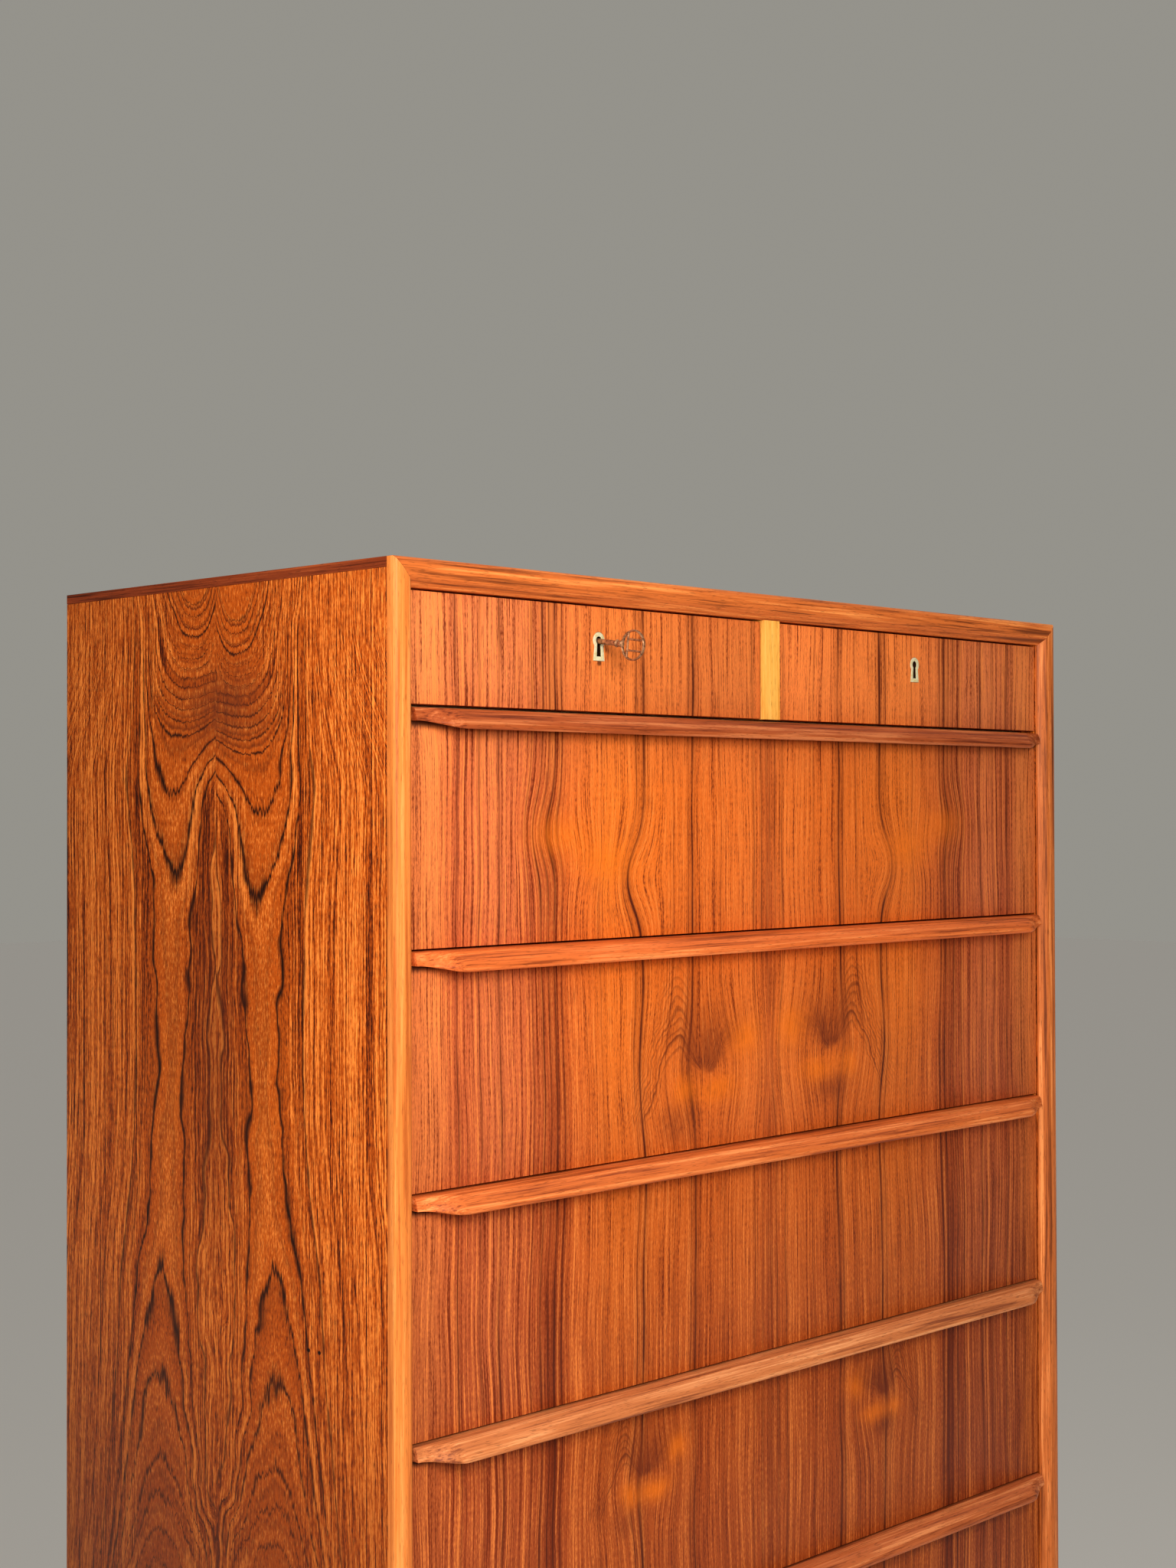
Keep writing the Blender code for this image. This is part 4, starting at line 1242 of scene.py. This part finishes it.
for side, _ in SIDES:
    low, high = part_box(f"small_front_{side}")
    x = (low.x + high.x) / 2
    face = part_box(f"keyhole_inlay_{side}")[0].y
    front = soften(block(f"teak_small_front_{side}", low, high), FRONT_SANDED)
    cut(front, block("pocket", *grown(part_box(f"lock_case_{side}"), GAP)),
        keyhole("seat", x, SEAT, (low.y - PAST, face + INLAY_THICKNESS + GAP)),
        keyhole("way", x, WAY, (low.y - PAST, high.y + PAST)))
    paint(front, finishes["drawer"])
    hand_over(front, f"small_front_{side}")

    plate = keyhole(f"brass_inlay_{side}", x, SHEET, (face, face + INLAY_THICKNESS))
    cut(plate, keyhole("hole", x, HOLE, (low.y - PAST, high.y)))
    soften(plate, INLAY_SANDED, 2, 50)
    paint(plate, finishes["brass"])
    hand_over(plate, f"keyhole_inlay_{side}")
print("inlays", round((inlay_high.z - inlay_low.z) * 1000, 1), "mm tall")

# %% [markdown]
# ## The key
#
# A small cast key stands in the left lock: a thin flattened ring for the bow, with a short
# ladder inside it, a turned stem with a collar, and a bit that works the lock. It is built
# along its own axis and then tipped into the lock, where it droops a little with wear.

# %% The bow
BOW_RADIUS = 0.0128
BOW_WIRE = 0.0009
BOW_FLAT = 1.7  # the ring's section is this much wider across the bow's plane than in it


def flat_ring(name):
    clear_selection()
    bpy.ops.mesh.primitive_torus_add(major_segments=72, minor_segments=14,
                                     major_radius=BOW_RADIUS - BOW_WIRE, minor_radius=BOW_WIRE,
                                     rotation=(0, math.pi / 2, 0))
    ring = bpy.context.object
    ring.name = name
    ring.scale = (1, 1, BOW_FLAT)
    write_place()
    return ring


def rod(name, start, end, radius):
    """A round bar between two points in the plane of the bow."""
    clear_selection()
    start, end = Vector(start), Vector(end)
    along = end - start
    bpy.ops.mesh.primitive_cylinder_add(vertices=20, radius=radius, depth=along.length,
                                        location=(start + end) / 2,
                                        rotation=along.to_track_quat("Z", "X").to_euler())
    bar = bpy.context.object
    bar.name = name
    write_place()
    return bar


key = flat_ring("bronze_key")
UPRIGHT = 0.0062  # how far the ladder's upright stands from the middle of the bow
RUNG = 0.0046  # and each of its two rungs
reach = BOW_RADIUS - 0.0006
along_bow = math.sqrt(reach ** 2 - UPRIGHT ** 2)
across_bow = math.sqrt(reach ** 2 - RUNG ** 2)
bars = [rod("upright", (0, -along_bow, UPRIGHT), (0, along_bow, UPRIGHT), 0.0010)]
bars += [rod("rung", (0, s * RUNG, -across_bow), (0, s * RUNG, UPRIGHT), BOW_WIRE) for s in (-1, 1)]
print("bow", 2 * BOW_RADIUS, "across, with", len(bars), "bars")

# %% [markdown]
# The stem is drawn out like a leg, from a profile of radius and distance: a foot on the bow,
# two beads, then a plain round bar. The bit is a small block near the tip.

# %% Stem and bit
KEY_LENGTH = 0.0561  # from the middle of the bow to the tip
STEM = 0.0023
STEM_POINTS = 28
stem_start = BOW_RADIUS - 0.0012
stem_length = KEY_LENGTH - stem_start
profile = ((0.0020, 0), (0.0027, 0.0006), (0.0030, 0.0014), (0.0027, 0.0026), (STEM, 0.0036),
           (STEM, 0.0050), (0.0030, 0.0056), (0.0033, 0.0062), (0.0030, 0.0069), (STEM, 0.0076),
           (STEM, stem_length - 0.0006), (0.0018, stem_length))
stem = draw_out("stem", [circle(0, 0, stem_start + z, r, STEM_POINTS) for r, z in profile])
bit = soften(block("bit", (-0.0010, 0, KEY_LENGTH - 0.0041), (0.0010, 0.0082, KEY_LENGTH - 0.0004)), 0.0002)
print("key", KEY_LENGTH + BOW_RADIUS, "long")

# %% [markdown]
# The parts become one, and the key is tipped into the lock. It stands a hair under the middle
# of the keyhole's head, and the middle of its bow is almost four centimetres outside.

# %% The key in its lock
KEY_DROOP = math.radians(8.0)
KEY_LOW = 0.0006  # how far below the head's middle the key's axis meets the drawer face
BOW_OUT = 0.0389  # the middle of the bow, in front of the drawer face
weld(key, *bars, stem, bit)
only(key)
key.rotation_euler = (KEY_DROOP - math.pi / 2, 0, 0)
axis_point = Vector((-SMALL_CENTRE, FACE, KEY_LEVEL - KEY_LOW))
key.location = axis_point - Vector((0, math.cos(KEY_DROOP), math.sin(KEY_DROOP))) * BOW_OUT
write_place()
paint(key, finishes["bronze"])
hand_over(key, "key", angle=40)
print("new box", [round(f(v.co[i] for v in key.data.vertices), 4) for f in (min, max) for i in range(3)])

# %% [markdown]
# ## Finishes for the plain solids that stay
#
# The hidden parts already have the right shape: shelf, divider board, drawer boxes and
# bottoms, runners, lock cases and bolts. They keep their meshes and only take a finish.

# %% Paint the remaining solids
KEPT = {"shelf": "plywood", "divider_board": "plywood", "bottom_board": "back", "back_panel": "back"}
for number in LARGE:
    KEPT[f"drawer_box_{number}"] = "beech"
    KEPT[f"drawer_bottom_{number}"] = "plywood"
    for side, _ in SIDES:
        KEPT[f"runner_{number}_{side}"] = "beech"
for side, _ in SIDES:
    KEPT[f"small_box_{side}"] = "beech"
    # the near-black lock case paints the shade seen through the keyhole
    KEPT[f"lock_case_{side}"] = "keyhole shade steel"
    KEPT[f"lock_bolt_{side}"] = "steel"
for node, finish in KEPT.items():
    paint(frame["nodes"][node], finishes[finish])
print(len(KEPT), "solids kept,", len(made_pieces), "pieces made")

# %% [markdown]
# ## The floor
#
# A plain pale sheet, wide enough that its far edge melts into the grey wall. It is part of
# the studio and not of the chest, so it rides on nothing.

# %% Floor
FLOOR_SIZE = 30
FLOOR_COLOUR = (0.74, 0.72, 0.67, 1)

clear_selection()
bpy.ops.mesh.primitive_plane_add(size=FLOOR_SIZE)
floor = bpy.context.object
floor.name = "studio_floor"
pale = bpy.data.materials.new("pale floor")
pale.use_nodes = True
pale_shader = pale.node_tree.nodes["Principled BSDF"]
pale_shader.inputs["Base Color"].default_value = FLOOR_COLOUR
pale_shader.inputs["Roughness"].default_value = 0.8
paint(floor, pale)
print("floor", FLOOR_SIZE, "m wide")
